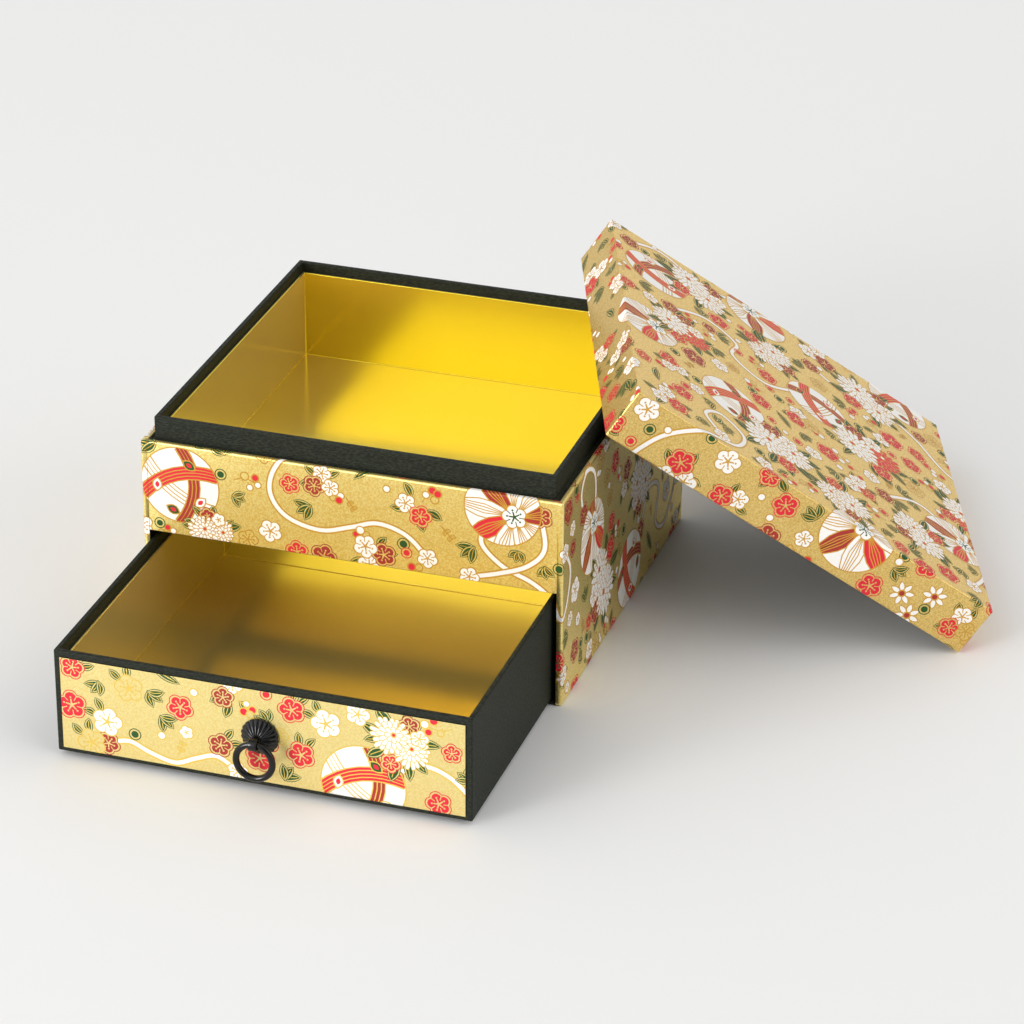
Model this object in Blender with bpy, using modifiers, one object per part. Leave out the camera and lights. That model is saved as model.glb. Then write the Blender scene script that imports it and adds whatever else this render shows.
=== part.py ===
"""Two-tier stationery box of paper-covered board: a case with an open tray on top, a drawer below
with a ring pull, and a lift-off lid that leans on the tray's corner. Metres, +Z up, front at -Y.
The origin is the centre of the case's underside."""

import math

import bmesh
import bpy
from mathutils import Matrix, Vector

# Clearance between two pieces that touch
FIT = 0.0003

# Case
CASE_WIDTH = 0.205
CASE_DEPTH = 0.200
CASE_HEIGHT = 0.1045
CASE_BOARD = 0.003
BASE_BOARD = 0.002
PARTITION_BOARD = 0.0028
CASE_ROUNDING = 0.001

# Tray that stands in the case and rises above its rim
TRAY_RISE = 0.0104
TRAY_BOARD = 0.0024
TRAY_SPACER = 0.0019
SPACER_DROP = 0.0012
TRAY_ROUNDING = 0.0005

# Foil-covered linings of the tray and of the drawer
LINING_BOARD = 0.0012
TRAY_LINING_DROP = 0.005
DRAWER_LINING_DROP = 0.0055

# Drawer, at rest drawn part of the way out
DRAWER_HEIGHT = 0.0515
DRAWER_BOARD = 0.0024
DRAWER_LEFT_GAP = 0.0004
DRAWER_RIGHT_GAP = 0.0024
DRAWER_TOP_GAP = 0.0045
DRAWER_BACK_GAP = 0.0016
DRAWER_OUT = 0.1124
DRAWER_ROUNDING = 0.0007

# Patterned paper on the drawer's front
PAPER_THICKNESS = 0.0004
PAPER_SIDE_MARGIN = 0.003
PAPER_TOP_MARGIN = 0.0032
PAPER_BOTTOM_MARGIN = 0.0024

# Ring pull: a ribbed rosette, a pin with an eye, and the ring
ROSETTE_DIAMETER = 0.0178
ROSETTE_HEIGHT = 0.0046
ROSETTE_EDGE = 0.0006
ROSETTE_RIBS = 20
ROSETTE_RIB_DEPTH = 0.00035
POINTS_PER_RIB = 4
PIN_DIAMETER = 0.0023
EYE_WIDTH = 0.004
EYE_WALL = 0.001
EYE_PLAY = 0.00045
EYE_FACETS = 24
RING_DIAMETER = 0.0202
RING_WIRE = 0.0031
RING_FACETS = 48
WIRE_FACETS = 12

# Lid, which leans over the tray's back right corner with its far edge on the ground
LID_HEIGHT = 0.0268
LID_BOARD = 0.0028
LID_ROUNDING = 0.0009
LID_YAW = math.radians(20.5)
LID_CORNER_GAP = 0.00135
LID_SLIP = 0.0405

# Rounded edges and smooth shading
ROUND_SEGMENTS = 2
SHARP_ANGLE = math.radians(35)
CUT_MARGIN = 0.002

# Sizes that follow from the ones above
BAY_HEIGHT = FIT + DRAWER_HEIGHT + DRAWER_TOP_GAP
PARTITION_TOP = BASE_BOARD + BAY_HEIGHT + PARTITION_BOARD
CASE_INSIDE_WIDTH = CASE_WIDTH - 2 * CASE_BOARD
CASE_INSIDE_DEPTH = CASE_DEPTH - 2 * CASE_BOARD
TRAY_BASE = PARTITION_TOP + FIT
TRAY_TOP = CASE_HEIGHT + TRAY_RISE
TRAY_WIDTH = CASE_INSIDE_WIDTH - 2 * FIT - 2 * TRAY_SPACER
TRAY_DEPTH = CASE_INSIDE_DEPTH - 2 * FIT - 2 * TRAY_SPACER
DRAWER_WIDTH = CASE_INSIDE_WIDTH - DRAWER_LEFT_GAP - DRAWER_RIGHT_GAP
DRAWER_LENGTH = CASE_DEPTH - CASE_BOARD - DRAWER_BACK_GAP
DRAWER_CENTRE_X = (DRAWER_LEFT_GAP - DRAWER_RIGHT_GAP) / 2
DRAWER_FRONT_Y = -CASE_DEPTH / 2 - DRAWER_OUT
DRAWER_BASE_Z = BASE_BOARD + FIT
ROSETTE_BASE = FIT + PAPER_THICKNESS + FIT
EYE_HOLE_RADIUS = RING_WIRE / 2 + EYE_PLAY
EYE_RADIUS = EYE_HOLE_RADIUS + EYE_WALL
PIVOT_REACH = ROSETTE_BASE + ROSETTE_HEIGHT + FIT + EYE_RADIUS
PIN_HOLE_DIAMETER = PIN_DIAMETER + 2 * FIT
RING_RADIUS = (RING_DIAMETER - RING_WIRE) / 2


def clear_scene():
    """Removes every object that the scene starts with."""
    for stale in list(bpy.data.objects):
        bpy.data.objects.remove(stale, do_unlink=True)


def new_collection(name):
    """Adds a collection to the scene."""
    collection = bpy.data.collections.new(name)
    bpy.context.scene.collection.children.link(collection)
    return collection


def new_material(name, base_color, metallic, roughness):
    """Makes a plain Principled finish."""
    material = bpy.data.materials.new(name)
    material.use_nodes = True
    shader = material.node_tree.nodes["Principled BSDF"]
    shader.inputs["Base Color"].default_value = (*base_color, 1.0)
    shader.inputs["Metallic"].default_value = metallic
    shader.inputs["Roughness"].default_value = roughness
    material.diffuse_color = (*base_color, 1.0)
    return material


def new_object(name, shape, collection, material=None):
    """Turns a bmesh into an object and frees the bmesh."""
    mesh = bpy.data.meshes.new(name)
    shape.to_mesh(mesh)
    shape.free()
    if material:
        mesh.materials.append(material)
    thing = bpy.data.objects.new(name, mesh)
    collection.objects.link(thing)
    return thing


def block(width, depth, height):
    """A box that stands on its origin, centred in X and Y."""
    shape = bmesh.new()
    bmesh.ops.create_cube(shape, size=1.0)
    bmesh.ops.scale(shape, vec=(width, depth, height), verts=shape.verts)
    bmesh.ops.translate(shape, vec=(0, 0, height / 2), verts=shape.verts)
    return shape


def open_block(width, depth, height, open_side):
    """A box like block, without the face whose normal is open_side."""
    shape = block(width, depth, height)
    shape.normal_update()
    gone = [face for face in shape.faces if face.normal.dot(open_side) > 0.9]
    bmesh.ops.delete(shape, geom=gone, context="FACES_ONLY")
    return shape


def add_walls(thing, thickness):
    """Gives an open surface its thickness, inwards."""
    walls = thing.modifiers.new("walls", "SOLIDIFY")
    walls.thickness = thickness
    walls.offset = -1
    walls.use_even_offset = True


def add_rounding(thing, radius):
    """Rounds every sharp edge, as paper does where it wraps a board."""
    rounding = thing.modifiers.new("rounding", "BEVEL")
    rounding.width = radius
    rounding.segments = ROUND_SEGMENTS
    rounding.limit_method = "ANGLE"
    rounding.angle_limit = SHARP_ANGLE


def add_cut(thing, cutter, operation="DIFFERENCE"):
    """Cuts one object with another, or joins it."""
    cut = thing.modifiers.new(cutter.name, "BOOLEAN")
    cut.object = cutter
    cut.operation = operation
    cut.solver = "EXACT"


def new_cutter(name, shape, cutters, location, parent=None):
    """Adds a hidden cutting shape."""
    cutter = new_object(name, shape, cutters)
    cutter.location = location
    cutter.parent = parent
    cutter.hide_render = True
    cutter.display_type = "WIRE"
    return cutter


def cylinder_along_y(radius, length):
    """A cylinder from its origin towards +Y."""
    shape = bmesh.new()
    bmesh.ops.create_cone(
        shape, cap_ends=True, segments=EYE_FACETS, radius1=radius, radius2=radius, depth=length
    )
    bmesh.ops.rotate(shape, matrix=Matrix.Rotation(math.pi / 2, 3, "X"), verts=shape.verts)
    bmesh.ops.translate(shape, vec=(0, length / 2, 0), verts=shape.verts)
    return shape


def shade_round(thing):
    """Shades an object smooth with crisp edges where faces turn sharply."""
    thing.data.shade_smooth()
    thing.data.set_sharp_from_angle(angle=SHARP_ANGLE)


def make_case(parts, cutters, material):
    """The outer case: base, sides, back, front panel and partition, glued and wrapped as one."""
    case = new_object("case_shell", block(CASE_WIDTH, CASE_DEPTH, CASE_HEIGHT), parts, material)
    add_rounding(case, CASE_ROUNDING)

    tray_space = block(CASE_INSIDE_WIDTH, CASE_INSIDE_DEPTH, CASE_HEIGHT - PARTITION_TOP + CUT_MARGIN)
    add_cut(case, new_cutter("tray_space", tray_space, cutters, (0, 0, PARTITION_TOP)))

    bay_depth = CASE_DEPTH - CASE_BOARD + CUT_MARGIN
    bay = block(CASE_INSIDE_WIDTH, bay_depth, BAY_HEIGHT)
    bay_y = -CASE_DEPTH / 2 - CUT_MARGIN + bay_depth / 2
    add_cut(case, new_cutter("drawer_bay", bay, cutters, (0, bay_y, BASE_BOARD)))
    return case


def make_tray(parts, cutters, material):
    """The inner tray: its wall is doubled by a spacer up to just below the case's rim."""
    spacer_height = CASE_HEIGHT - SPACER_DROP - TRAY_BASE
    shape = block(CASE_INSIDE_WIDTH - 2 * FIT, CASE_INSIDE_DEPTH - 2 * FIT, spacer_height)
    shape.normal_update()
    top = [face for face in shape.faces if face.normal.z > 0.9]
    bmesh.ops.inset_region(shape, faces=top, thickness=TRAY_SPACER, use_even_offset=True)
    raised = bmesh.ops.extrude_face_region(shape, geom=top)
    bmesh.ops.delete(shape, geom=top, context="FACES_ONLY")
    lifted = [item for item in raised["geom"] if isinstance(item, bmesh.types.BMVert)]
    bmesh.ops.translate(shape, vec=(0, 0, TRAY_TOP - TRAY_BASE - spacer_height), verts=lifted)

    tray = new_object("inner_tray", shape, parts, material)
    tray.location.z = TRAY_BASE
    add_rounding(tray, TRAY_ROUNDING)

    hollow_height = TRAY_TOP - TRAY_BASE - TRAY_BOARD + CUT_MARGIN
    hollow = block(TRAY_WIDTH - 2 * TRAY_BOARD, TRAY_DEPTH - 2 * TRAY_BOARD, hollow_height)
    add_cut(tray, new_cutter("tray_hollow", hollow, cutters, (0, 0, TRAY_BASE + TRAY_BOARD)))
    return tray


def make_tray_lining(parts, material):
    """The open card box that lines the tray and stops short of its rim."""
    inset = 2 * (TRAY_BOARD + FIT)
    base = TRAY_BASE + TRAY_BOARD + FIT
    height = TRAY_TOP - TRAY_LINING_DROP - base
    shape = open_block(TRAY_WIDTH - inset, TRAY_DEPTH - inset, height, Vector((0, 0, 1)))
    lining = new_object("tray_lining", shape, parts, material)
    lining.location.z = base
    add_walls(lining, LINING_BOARD)
    return lining


def make_drawer(parts, cutters, material, runner):
    """The drawer, an open box with a hole in its front for the pull's pin."""
    shape = open_block(DRAWER_WIDTH, DRAWER_LENGTH, DRAWER_HEIGHT, Vector((0, 0, 1)))
    drawer = new_object("drawer", shape, parts, material)
    drawer.location.y = DRAWER_LENGTH / 2
    drawer.parent = runner
    add_walls(drawer, DRAWER_BOARD)
    add_rounding(drawer, DRAWER_ROUNDING)
    pin_hole = cylinder_along_y(PIN_HOLE_DIAMETER / 2, DRAWER_BOARD + 2 * CUT_MARGIN)
    hole_place = (0, -CUT_MARGIN, DRAWER_HEIGHT / 2)
    add_cut(drawer, new_cutter("pin_hole", pin_hole, cutters, hole_place, runner))
    return drawer


def make_drawer_lining(parts, material, runner):
    """The open card box that lines the drawer."""
    inset = DRAWER_BOARD + FIT
    height = DRAWER_HEIGHT - DRAWER_LINING_DROP - inset
    shape = open_block(DRAWER_WIDTH - 2 * inset, DRAWER_LENGTH - 2 * inset, height, Vector((0, 0, 1)))
    lining = new_object("drawer_lining", shape, parts, material)
    lining.location = (0, DRAWER_LENGTH / 2, inset)
    lining.parent = runner
    add_walls(lining, LINING_BOARD)
    return lining


def make_front_paper(parts, cutters, material, runner):
    """The sheet of patterned paper on the drawer's front, inside a plain margin."""
    width = DRAWER_WIDTH - 2 * PAPER_SIDE_MARGIN
    height = DRAWER_HEIGHT - PAPER_TOP_MARGIN - PAPER_BOTTOM_MARGIN
    paper = new_object("drawer_front_paper", block(width, PAPER_THICKNESS, height), parts, material)
    paper.location = (0, -FIT - PAPER_THICKNESS / 2, PAPER_BOTTOM_MARGIN)
    paper.parent = runner
    pin_hole = cylinder_along_y(PIN_HOLE_DIAMETER / 2, PAPER_THICKNESS + 2 * CUT_MARGIN)
    hole_place = (0, -CUT_MARGIN - PAPER_THICKNESS, DRAWER_HEIGHT / 2)
    add_cut(paper, new_cutter("paper_hole", pin_hole, cutters, hole_place, runner))
    return paper


def rosette_outline():
    """Radius and height of the rosette's section, from the rim of its hole round to the hole again."""
    rim = ROSETTE_DIAMETER / 2
    hole = PIN_HOLE_DIAMETER / 2
    steps = 6
    outline = [(hole, 0.0)]
    for step in range(steps + 1):
        share = step / steps
        radius = hole + (rim - hole) * share
        height = ROSETTE_EDGE + (ROSETTE_HEIGHT - ROSETTE_EDGE) * math.cos(share * math.pi / 2) ** 0.8
        outline.append((radius, height))
    outline.append((rim, 0.0))
    return outline


def make_rosette(parts, material, runner):
    """The domed rosette: its section is spun, then drawn into ribs that deepen towards the rim."""
    shape = bmesh.new()
    outline = rosette_outline()
    points = [shape.verts.new((radius, 0, height)) for radius, height in outline]
    edges = [shape.edges.new(pair) for pair in zip(points, points[1:] + points[:1])]
    bmesh.ops.spin(
        shape,
        geom=points + edges,
        cent=(0, 0, 0),
        axis=(0, 0, 1),
        angle=2 * math.pi,
        steps=ROSETTE_RIBS * POINTS_PER_RIB,
        use_merge=True,
    )
    hole = PIN_HOLE_DIAMETER / 2
    rim = ROSETTE_DIAMETER / 2
    for vertex in shape.verts:
        radius = vertex.co.xy.length
        share = max(0.0, (radius - hole) / (rim - hole))
        wave = math.cos(ROSETTE_RIBS * math.atan2(vertex.co.y, vertex.co.x)) - 1
        stretch = 1 + ROSETTE_RIB_DEPTH * share * wave / (2 * radius)
        vertex.co.xy = vertex.co.xy * stretch
        if vertex.co.z > ROSETTE_EDGE:
            vertex.co.z += ROSETTE_RIB_DEPTH * math.sin(math.pi * share) * wave / 2
    bmesh.ops.recalc_face_normals(shape, faces=shape.faces)
    bmesh.ops.rotate(shape, matrix=Matrix.Rotation(math.pi / 2, 3, "X"), verts=shape.verts)
    rosette = new_object("pull_rosette", shape, parts, material)
    rosette.location = (0, -ROSETTE_BASE, DRAWER_HEIGHT / 2)
    rosette.parent = runner
    shade_round(rosette)
    return rosette


def make_pin(parts, cutters, material, hinge):
    """The pin: an eye round the ring's wire, and a shank through rosette, paper and drawer front."""
    shape = bmesh.new()
    half = EYE_WIDTH / 2
    section = [(-half, EYE_HOLE_RADIUS), (half, EYE_HOLE_RADIUS), (half, EYE_RADIUS), (-half, EYE_RADIUS)]
    points = [shape.verts.new((x, 0, z)) for x, z in section]
    edges = [shape.edges.new(pair) for pair in zip(points, points[1:] + points[:1])]
    bmesh.ops.spin(
        shape,
        geom=points + edges,
        cent=(0, 0, 0),
        axis=(1, 0, 0),
        angle=2 * math.pi,
        steps=EYE_FACETS,
        use_merge=True,
    )
    bmesh.ops.recalc_face_normals(shape, faces=shape.faces)
    pin = new_object("pull_pin", shape, parts, material)
    pin.parent = hinge

    shank_start = EYE_HOLE_RADIUS + EYE_WALL / 2
    shank_end = PIVOT_REACH + DRAWER_BOARD
    shank = cylinder_along_y(PIN_DIAMETER / 2, shank_end - shank_start)
    add_cut(pin, new_cutter("pin_shank", shank, cutters, (0, shank_start, 0), hinge), "UNION")
    shade_round(pin)
    return pin


def make_ring(parts, material, hinge):
    """The ring, which hangs from the eye; its origin is on the axis that it swings about."""
    bpy.ops.mesh.primitive_torus_add(
        major_radius=RING_RADIUS,
        minor_radius=RING_WIRE / 2,
        major_segments=RING_FACETS,
        minor_segments=WIRE_FACETS,
    )
    ring = bpy.context.active_object
    for owner in list(ring.users_collection):
        owner.objects.unlink(ring)
    parts.objects.link(ring)
    ring.name = "pull_ring"
    ring.data.transform(Matrix.Rotation(math.pi / 2, 4, "X"))
    ring.data.transform(Matrix.Translation((0, 0, -RING_RADIUS)))
    ring.data.materials.append(material)
    ring.parent = hinge
    shade_round(ring)
    return ring


def make_lid(parts, material):
    """The lid, leaning: its raised rim lies on the tray's rim, its far rim stands on the ground."""
    shape = open_block(CASE_WIDTH, CASE_DEPTH, LID_HEIGHT, Vector((0, 0, -1)))
    bmesh.ops.translate(shape, vec=(CASE_WIDTH / 2, 0, 0), verts=shape.verts)
    lid = new_object("lid", shape, parts, material)
    add_walls(lid, LID_BOARD)
    add_rounding(lid, LID_ROUNDING)

    sine = (TRAY_TOP + FIT) / (CASE_WIDTH - LID_BOARD)
    tilt = math.asin(sine)
    rim_lift = CASE_WIDTH * sine - TRAY_TOP
    corner_height = LID_HEIGHT - LID_BOARD - LID_CORNER_GAP
    hook = (corner_height + rim_lift * math.cos(tilt)) / sine
    down_slope = Vector((math.cos(LID_YAW), math.sin(LID_YAW), 0))
    along_rim = Vector((-math.sin(LID_YAW), math.cos(LID_YAW), 0))
    tray_corner = Vector((TRAY_WIDTH / 2, TRAY_DEPTH / 2, 0))
    lid.location = tray_corner - down_slope * hook - along_rim * LID_SLIP
    lid.location.z = CASE_WIDTH * sine
    lid.rotation_euler = (0, tilt, LID_YAW)
    return lid


def build():
    """Builds the whole box."""
    clear_scene()
    parts = new_collection("stationery_box")
    cutters = new_collection("stationery_box_cutters")
    printed_paper = new_material("printed_gold_paper", (0.76, 0.55, 0.16), 0.35, 0.45)
    black_paper = new_material("black_laid_paper", (0.025, 0.028, 0.024), 0.0, 0.6)
    gold_foil = new_material("gold_foil", (0.83, 0.60, 0.02), 1.0, 0.25)
    black_metal = new_material("black_painted_metal", (0.012, 0.012, 0.012), 0.0, 0.2)

    make_case(parts, cutters, printed_paper)
    make_tray(parts, cutters, black_paper)
    make_tray_lining(parts, gold_foil)

    runner = bpy.data.objects.new("drawer_runner", None)
    runner.location = (DRAWER_CENTRE_X, DRAWER_FRONT_Y, DRAWER_BASE_Z)
    parts.objects.link(runner)
    make_drawer(parts, cutters, black_paper, runner)
    make_drawer_lining(parts, gold_foil, runner)
    make_front_paper(parts, cutters, printed_paper, runner)
    make_rosette(parts, black_metal, runner)

    hinge = bpy.data.objects.new("ring_hinge", None)
    hinge.location = (0, -PIVOT_REACH, DRAWER_HEIGHT / 2)
    hinge.parent = runner
    parts.objects.link(hinge)
    make_pin(parts, cutters, black_metal, hinge)
    make_ring(parts, black_metal, hinge)

    make_lid(parts, printed_paper)


build()
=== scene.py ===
"""Looks of a two-tier stationery box: boards wrapped in printed gold paper, a black tray and drawer
lined with gold foil card, and a black ring pull. Sizes are millimetres in the part's own frame."""

import sys

import logging
import math
import random
from collections.abc import Callable, Sequence
from dataclasses import dataclass, field
from enum import Enum

import bpy
from mathutils import Matrix, Vector
from mathutils.geometry import delaunay_2d_cdt

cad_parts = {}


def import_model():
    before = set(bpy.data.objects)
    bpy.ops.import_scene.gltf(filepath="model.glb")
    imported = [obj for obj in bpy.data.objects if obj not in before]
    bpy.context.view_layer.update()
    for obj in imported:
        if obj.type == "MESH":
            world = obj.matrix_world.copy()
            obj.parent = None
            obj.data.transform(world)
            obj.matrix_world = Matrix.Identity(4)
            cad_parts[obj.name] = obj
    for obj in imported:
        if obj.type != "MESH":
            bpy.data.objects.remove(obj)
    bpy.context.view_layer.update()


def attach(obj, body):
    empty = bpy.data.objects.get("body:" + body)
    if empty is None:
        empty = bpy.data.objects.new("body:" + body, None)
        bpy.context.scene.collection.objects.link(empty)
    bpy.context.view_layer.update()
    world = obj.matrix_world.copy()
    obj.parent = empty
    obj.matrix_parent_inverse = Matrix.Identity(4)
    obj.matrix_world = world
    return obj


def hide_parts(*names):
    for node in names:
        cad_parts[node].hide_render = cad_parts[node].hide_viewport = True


MM = 0.001
# Points within this many metres are one, and faces within this angle are one flat.
WELD = 2e-6
FLAT = math.radians(0.4)
# The radius of a crease in foil card, in millimetres.
CARD_FOLD = 0.4
LOG = logging.getLogger("stationery_box")
Point = tuple[float, float]


def linear(colour: str) -> tuple[float, float, float, float]:
    """Turns an sRGB hex colour into linear values.

    Args:
        colour: six hex digits after a hash sign.

    Returns:
        Red, green, blue and an alpha of one.
    """
    parts = [int(colour[i : i + 2], 16) / 255 for i in (1, 3, 5)]
    red, green, blue = (c / 12.92 if c <= 0.04045 else ((c + 0.055) / 1.055) ** 2.4 for c in parts)
    return (red, green, blue, 1.0)


def add_node(
    tree: bpy.types.NodeTree, kind: str, values: dict, links: dict, **settings: str
) -> bpy.types.Node:
    """Adds a shader node.

    Args:
        tree: the node tree that it joins.
        kind: Blender's name for the node.
        values: what each unlinked input holds.
        links: the output that feeds each linked input.
        settings: the node's own options.

    Returns:
        The new node.
    """
    node = tree.nodes.new(kind)
    for name, value in settings.items():
        setattr(node, name, value)
    for socket, value in values.items():
        node.inputs[socket].default_value = value
    for socket, source in links.items():
        tree.links.new(source, node.inputs[socket])
    return node


def new_finish(name: str, values: dict) -> tuple[bpy.types.Material, bpy.types.NodeTree, bpy.types.Node]:
    """Starts a material from its Principled shader.

    Args:
        name: what the real material is.
        values: the shader's constant inputs.

    Returns:
        The material, its node tree and its shader.
    """
    material = bpy.data.materials.new(name)
    material.use_nodes = True
    shader = material.node_tree.nodes["Principled BSDF"]
    for socket, value in values.items():
        shader.inputs[socket].default_value = value
    material.diffuse_color = shader.inputs["Base Color"].default_value
    return material, material.node_tree, shader


def lay_grain(
    tree: bpy.types.NodeTree, size: float, detail: float, rough: float = 0.5, stretch: float = 1.0
) -> bpy.types.NodeSocket:
    """Lays an irregular grain on a piece, fixed to the piece itself.

    Args:
        tree: the material's node tree.
        size: the grain's size in millimetres.
        detail: how many finer grains ride on it.
        rough: how strong the finer ones are.
        stretch: how many times longer than high it lies.

    Returns:
        The grain's height, from nought to one.
    """
    place = add_node(tree, "ShaderNodeTexCoord", {}, {}).outputs["Object"]
    lie = add_node(tree, "ShaderNodeMapping", {"Scale": (1.0, 1.0, stretch)}, {"Vector": place})
    values = {"Scale": 1 / (size * MM), "Detail": detail, "Roughness": rough}
    return add_node(tree, "ShaderNodeTexNoise", values, {"Vector": lie.outputs["Vector"]}).outputs["Fac"]


def show_grain(
    shader: bpy.types.Node,
    height: bpy.types.NodeSocket,
    tints: tuple[str, str] | None = None,
    spread: float = 0.1,
    relief: float = 0.0,
    strength: float = 1.0,
) -> None:
    """Lets a grain show in a surface, as a change of tint, as relief, or as both.

    Args:
        shader: the material's shader.
        height: the grain's height.
        tints: the colours of its hollows and its tops, or None to leave the colour even.
        spread: how far each side of the middle height the two colours are reached.
        relief: the depth of the relief in millimetres, or nought for none.
        strength: how much of the relief shows.
    """
    tree = shader.id_data
    if tints:
        tint = add_node(tree, "ShaderNodeValToRGB", {}, {"Fac": height})
        for stop, side, colour in zip(tint.color_ramp.elements, (-1, 1), tints):
            stop.position = 0.5 + side * spread
            stop.color = linear(colour)
        tree.links.new(tint.outputs["Color"], shader.inputs["Base Color"])
    if relief:
        values = {"Strength": strength, "Distance": relief * MM}
        bump = add_node(tree, "ShaderNodeBump", values, {"Height": height})
        tree.links.new(bump.outputs["Normal"], shader.inputs["Normal"])


@dataclass(frozen=True)
class GoldPaper:
    """Kozo paper flooded with bronze powder ink: a satin metal that glitters in fine grains."""

    name: str
    light: str = "#FFEEA2"
    dark: str = "#F0D274"
    metallic: float = 0.9
    roughness: float = 0.42
    grain: float = 0.7
    spread: float = 0.1
    relief: float = 0.012

    def material(self) -> bpy.types.Material:
        """Returns the paper with its grain of powder and its faint fibre relief."""
        values = {
            "Base Color": linear(self.light),
            "Metallic": self.metallic,
            "Roughness": self.roughness,
        }
        made, tree, shader = new_finish(self.name, values)
        powder = lay_grain(tree, self.grain, detail=3.0, rough=0.6)
        tints = (self.dark, self.light)
        show_grain(shader, powder, tints, self.spread, self.relief, strength=0.6)
        return made


@dataclass(frozen=True)
class ScreenInk:
    """One colour of the silk-screen print: an opaque pigment layer, flat and slightly satin."""

    name: str
    colour: str
    metallic: float = 0.0
    roughness: float = 0.55
    specular: float = 0.35

    def material(self) -> bpy.types.Material:
        """Returns the ink."""
        values = {
            "Base Color": linear(self.colour),
            "Metallic": self.metallic,
            "Roughness": self.roughness,
            "Specular IOR Level": self.specular,
        }
        return new_finish(self.name, values)[0]


@dataclass(frozen=True)
class LaidPaper:
    """Black dyed paper made on a laid mould: a fine horizontal rib, and fibres that lie along it."""

    name: str
    light: str = "#292E21"
    dark: str = "#0D110A"
    line_pitch: float = 0.9
    fibre_length: float = 1.7
    fibre_height: float = 0.5
    roughness: float = 0.62
    specular: float = 0.25
    relief: float = 0.06

    def material(self) -> bpy.types.Material:
        """Returns the black paper with its ribs and fibres."""
        values = {
            "Base Color": linear(self.light),
            "Roughness": self.roughness,
            "Specular IOR Level": self.specular,
        }
        made, tree, shader = new_finish(self.name, values)
        # A wave texture of scale 0.314 repeats once a unit. Its lines waver as the mould's wires do.
        waver = {"Distortion": 1.2, "Detail": 2.0, "Detail Scale": 3.0}
        ribs = add_node(
            tree,
            "ShaderNodeTexWave",
            {"Scale": 0.314 / (self.line_pitch * MM), **waver},
            {"Vector": add_node(tree, "ShaderNodeTexCoord", {}, {}).outputs["Object"]},
            bands_direction="Z",
        )
        long = self.fibre_length
        fibre = lay_grain(tree, long, detail=4.0, stretch=long / self.fibre_height)
        both = add_node(tree, "ShaderNodeMath", {}, {0: ribs.outputs["Fac"], 1: fibre}, operation="ADD")
        show_grain(shader, fibre, (self.dark, self.light), spread=0.12)
        show_grain(shader, both.outputs["Value"], relief=self.relief, strength=0.8)
        return made


@dataclass(frozen=True)
class FoilCard:
    """Card faced with lacquered aluminium foil: a yellow mirror, dulled at a glance by a fine tan haze."""

    name: str
    colour: str = "#F6DF3A"
    roughness: float = 0.15
    metallic: float = 0.88
    lacquer: float = 0.4
    lacquer_roughness: float = 0.4
    haze: float = 0.5
    haze_colour: str = "#FFE2BC"
    wave: float = 45.0
    relief: float = 0.5

    def material(self) -> bpy.types.Material:
        """Returns the gold foil, which lies on its card in faint broad waves."""
        values = {
            "Base Color": linear(self.colour),
            "Metallic": self.metallic,
            "Roughness": self.roughness,
            "Coat Weight": self.lacquer,
            "Coat Roughness": self.lacquer_roughness,
            "Sheen Weight": self.haze,
            "Sheen Tint": linear(self.haze_colour),
        }
        made, tree, shader = new_finish(self.name, values)
        show_grain(shader, lay_grain(tree, self.wave, detail=0.0), relief=self.relief, strength=0.4)
        return made


@dataclass(frozen=True)
class BlackLacquer:
    """Pressed iron dipped in black lacquer: deep black with sharp narrow highlights."""

    name: str = "black_lacquered_iron"
    colour: str = "#060706"
    roughness: float = 0.14
    specular: float = 0.4
    flow: float = 1.2
    relief: float = 0.04

    def material(self) -> bpy.types.Material:
        """Returns the lacquer with a trace of uneven flow."""
        values = {
            "Base Color": linear(self.colour),
            "Roughness": self.roughness,
            "Specular IOR Level": self.specular,
        }
        made, tree, shader = new_finish(self.name, values)
        show_grain(shader, lay_grain(tree, self.flow, detail=2.0), relief=self.relief, strength=0.25)
        return made


@dataclass(frozen=True)
class GreyBoard:
    """Recycled grey board, bare where no one looks: matt, with flecks of fibre."""

    name: str = "bare_grey_board"
    light: str = "#BDB6A6"
    dark: str = "#9C9586"
    roughness: float = 0.85
    fleck: float = 1.1

    def material(self) -> bpy.types.Material:
        """Returns the bare board."""
        values = {"Base Color": linear(self.light), "Roughness": self.roughness}
        made, tree, shader = new_finish(self.name, values)
        show_grain(shader, lay_grain(tree, self.fleck, detail=5.0), (self.dark, self.light), spread=0.15)
        return made


class Ink(Enum):
    """The screens of the print. BARE lets the gold ground show through."""

    BARE = -1
    WHITE = 0
    RED = 1
    CRIMSON = 2
    GREEN = 3
    GOLD = 4


class Motif(Enum):
    """Kinds of small motif that fill the ground between the large ones."""

    SPRAY = "spray"
    BLOSSOM = "blossom"
    BERRIES = "berries"
    LEAVES = "leaves"
    SPRIG = "sprig"
    BLADE = "blade"
    DOT = "dot"


def polar(centre: Point, radius: float, angle: float) -> Point:
    """Returns the point at a distance and angle from a centre."""
    return (centre[0] + radius * math.cos(angle), centre[1] + radius * math.sin(angle))


def aside(centre: Point, angle: float, ahead: float, left: float) -> Point:
    """Returns the point some way ahead and to the left of a centre, seen along an angle."""
    c, s = math.cos(angle), math.sin(angle)
    return (centre[0] + ahead * c - left * s, centre[1] + ahead * s + left * c)


def rectangle(low: Point, high: Point) -> tuple[Point, ...]:
    """Returns the four corners of an upright rectangle."""
    return ((low[0], low[1]), (high[0], low[1]), (high[0], high[1]), (low[0], high[1]))


def anticlockwise(points: list[Point]) -> list[Point]:
    """Returns the points of a closed outline in anticlockwise order."""
    area = sum(a[0] * b[1] - b[0] * a[1] for a, b in zip(points, points[1:] + points[:1]))
    return points if area > 0 else points[::-1]


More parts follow.
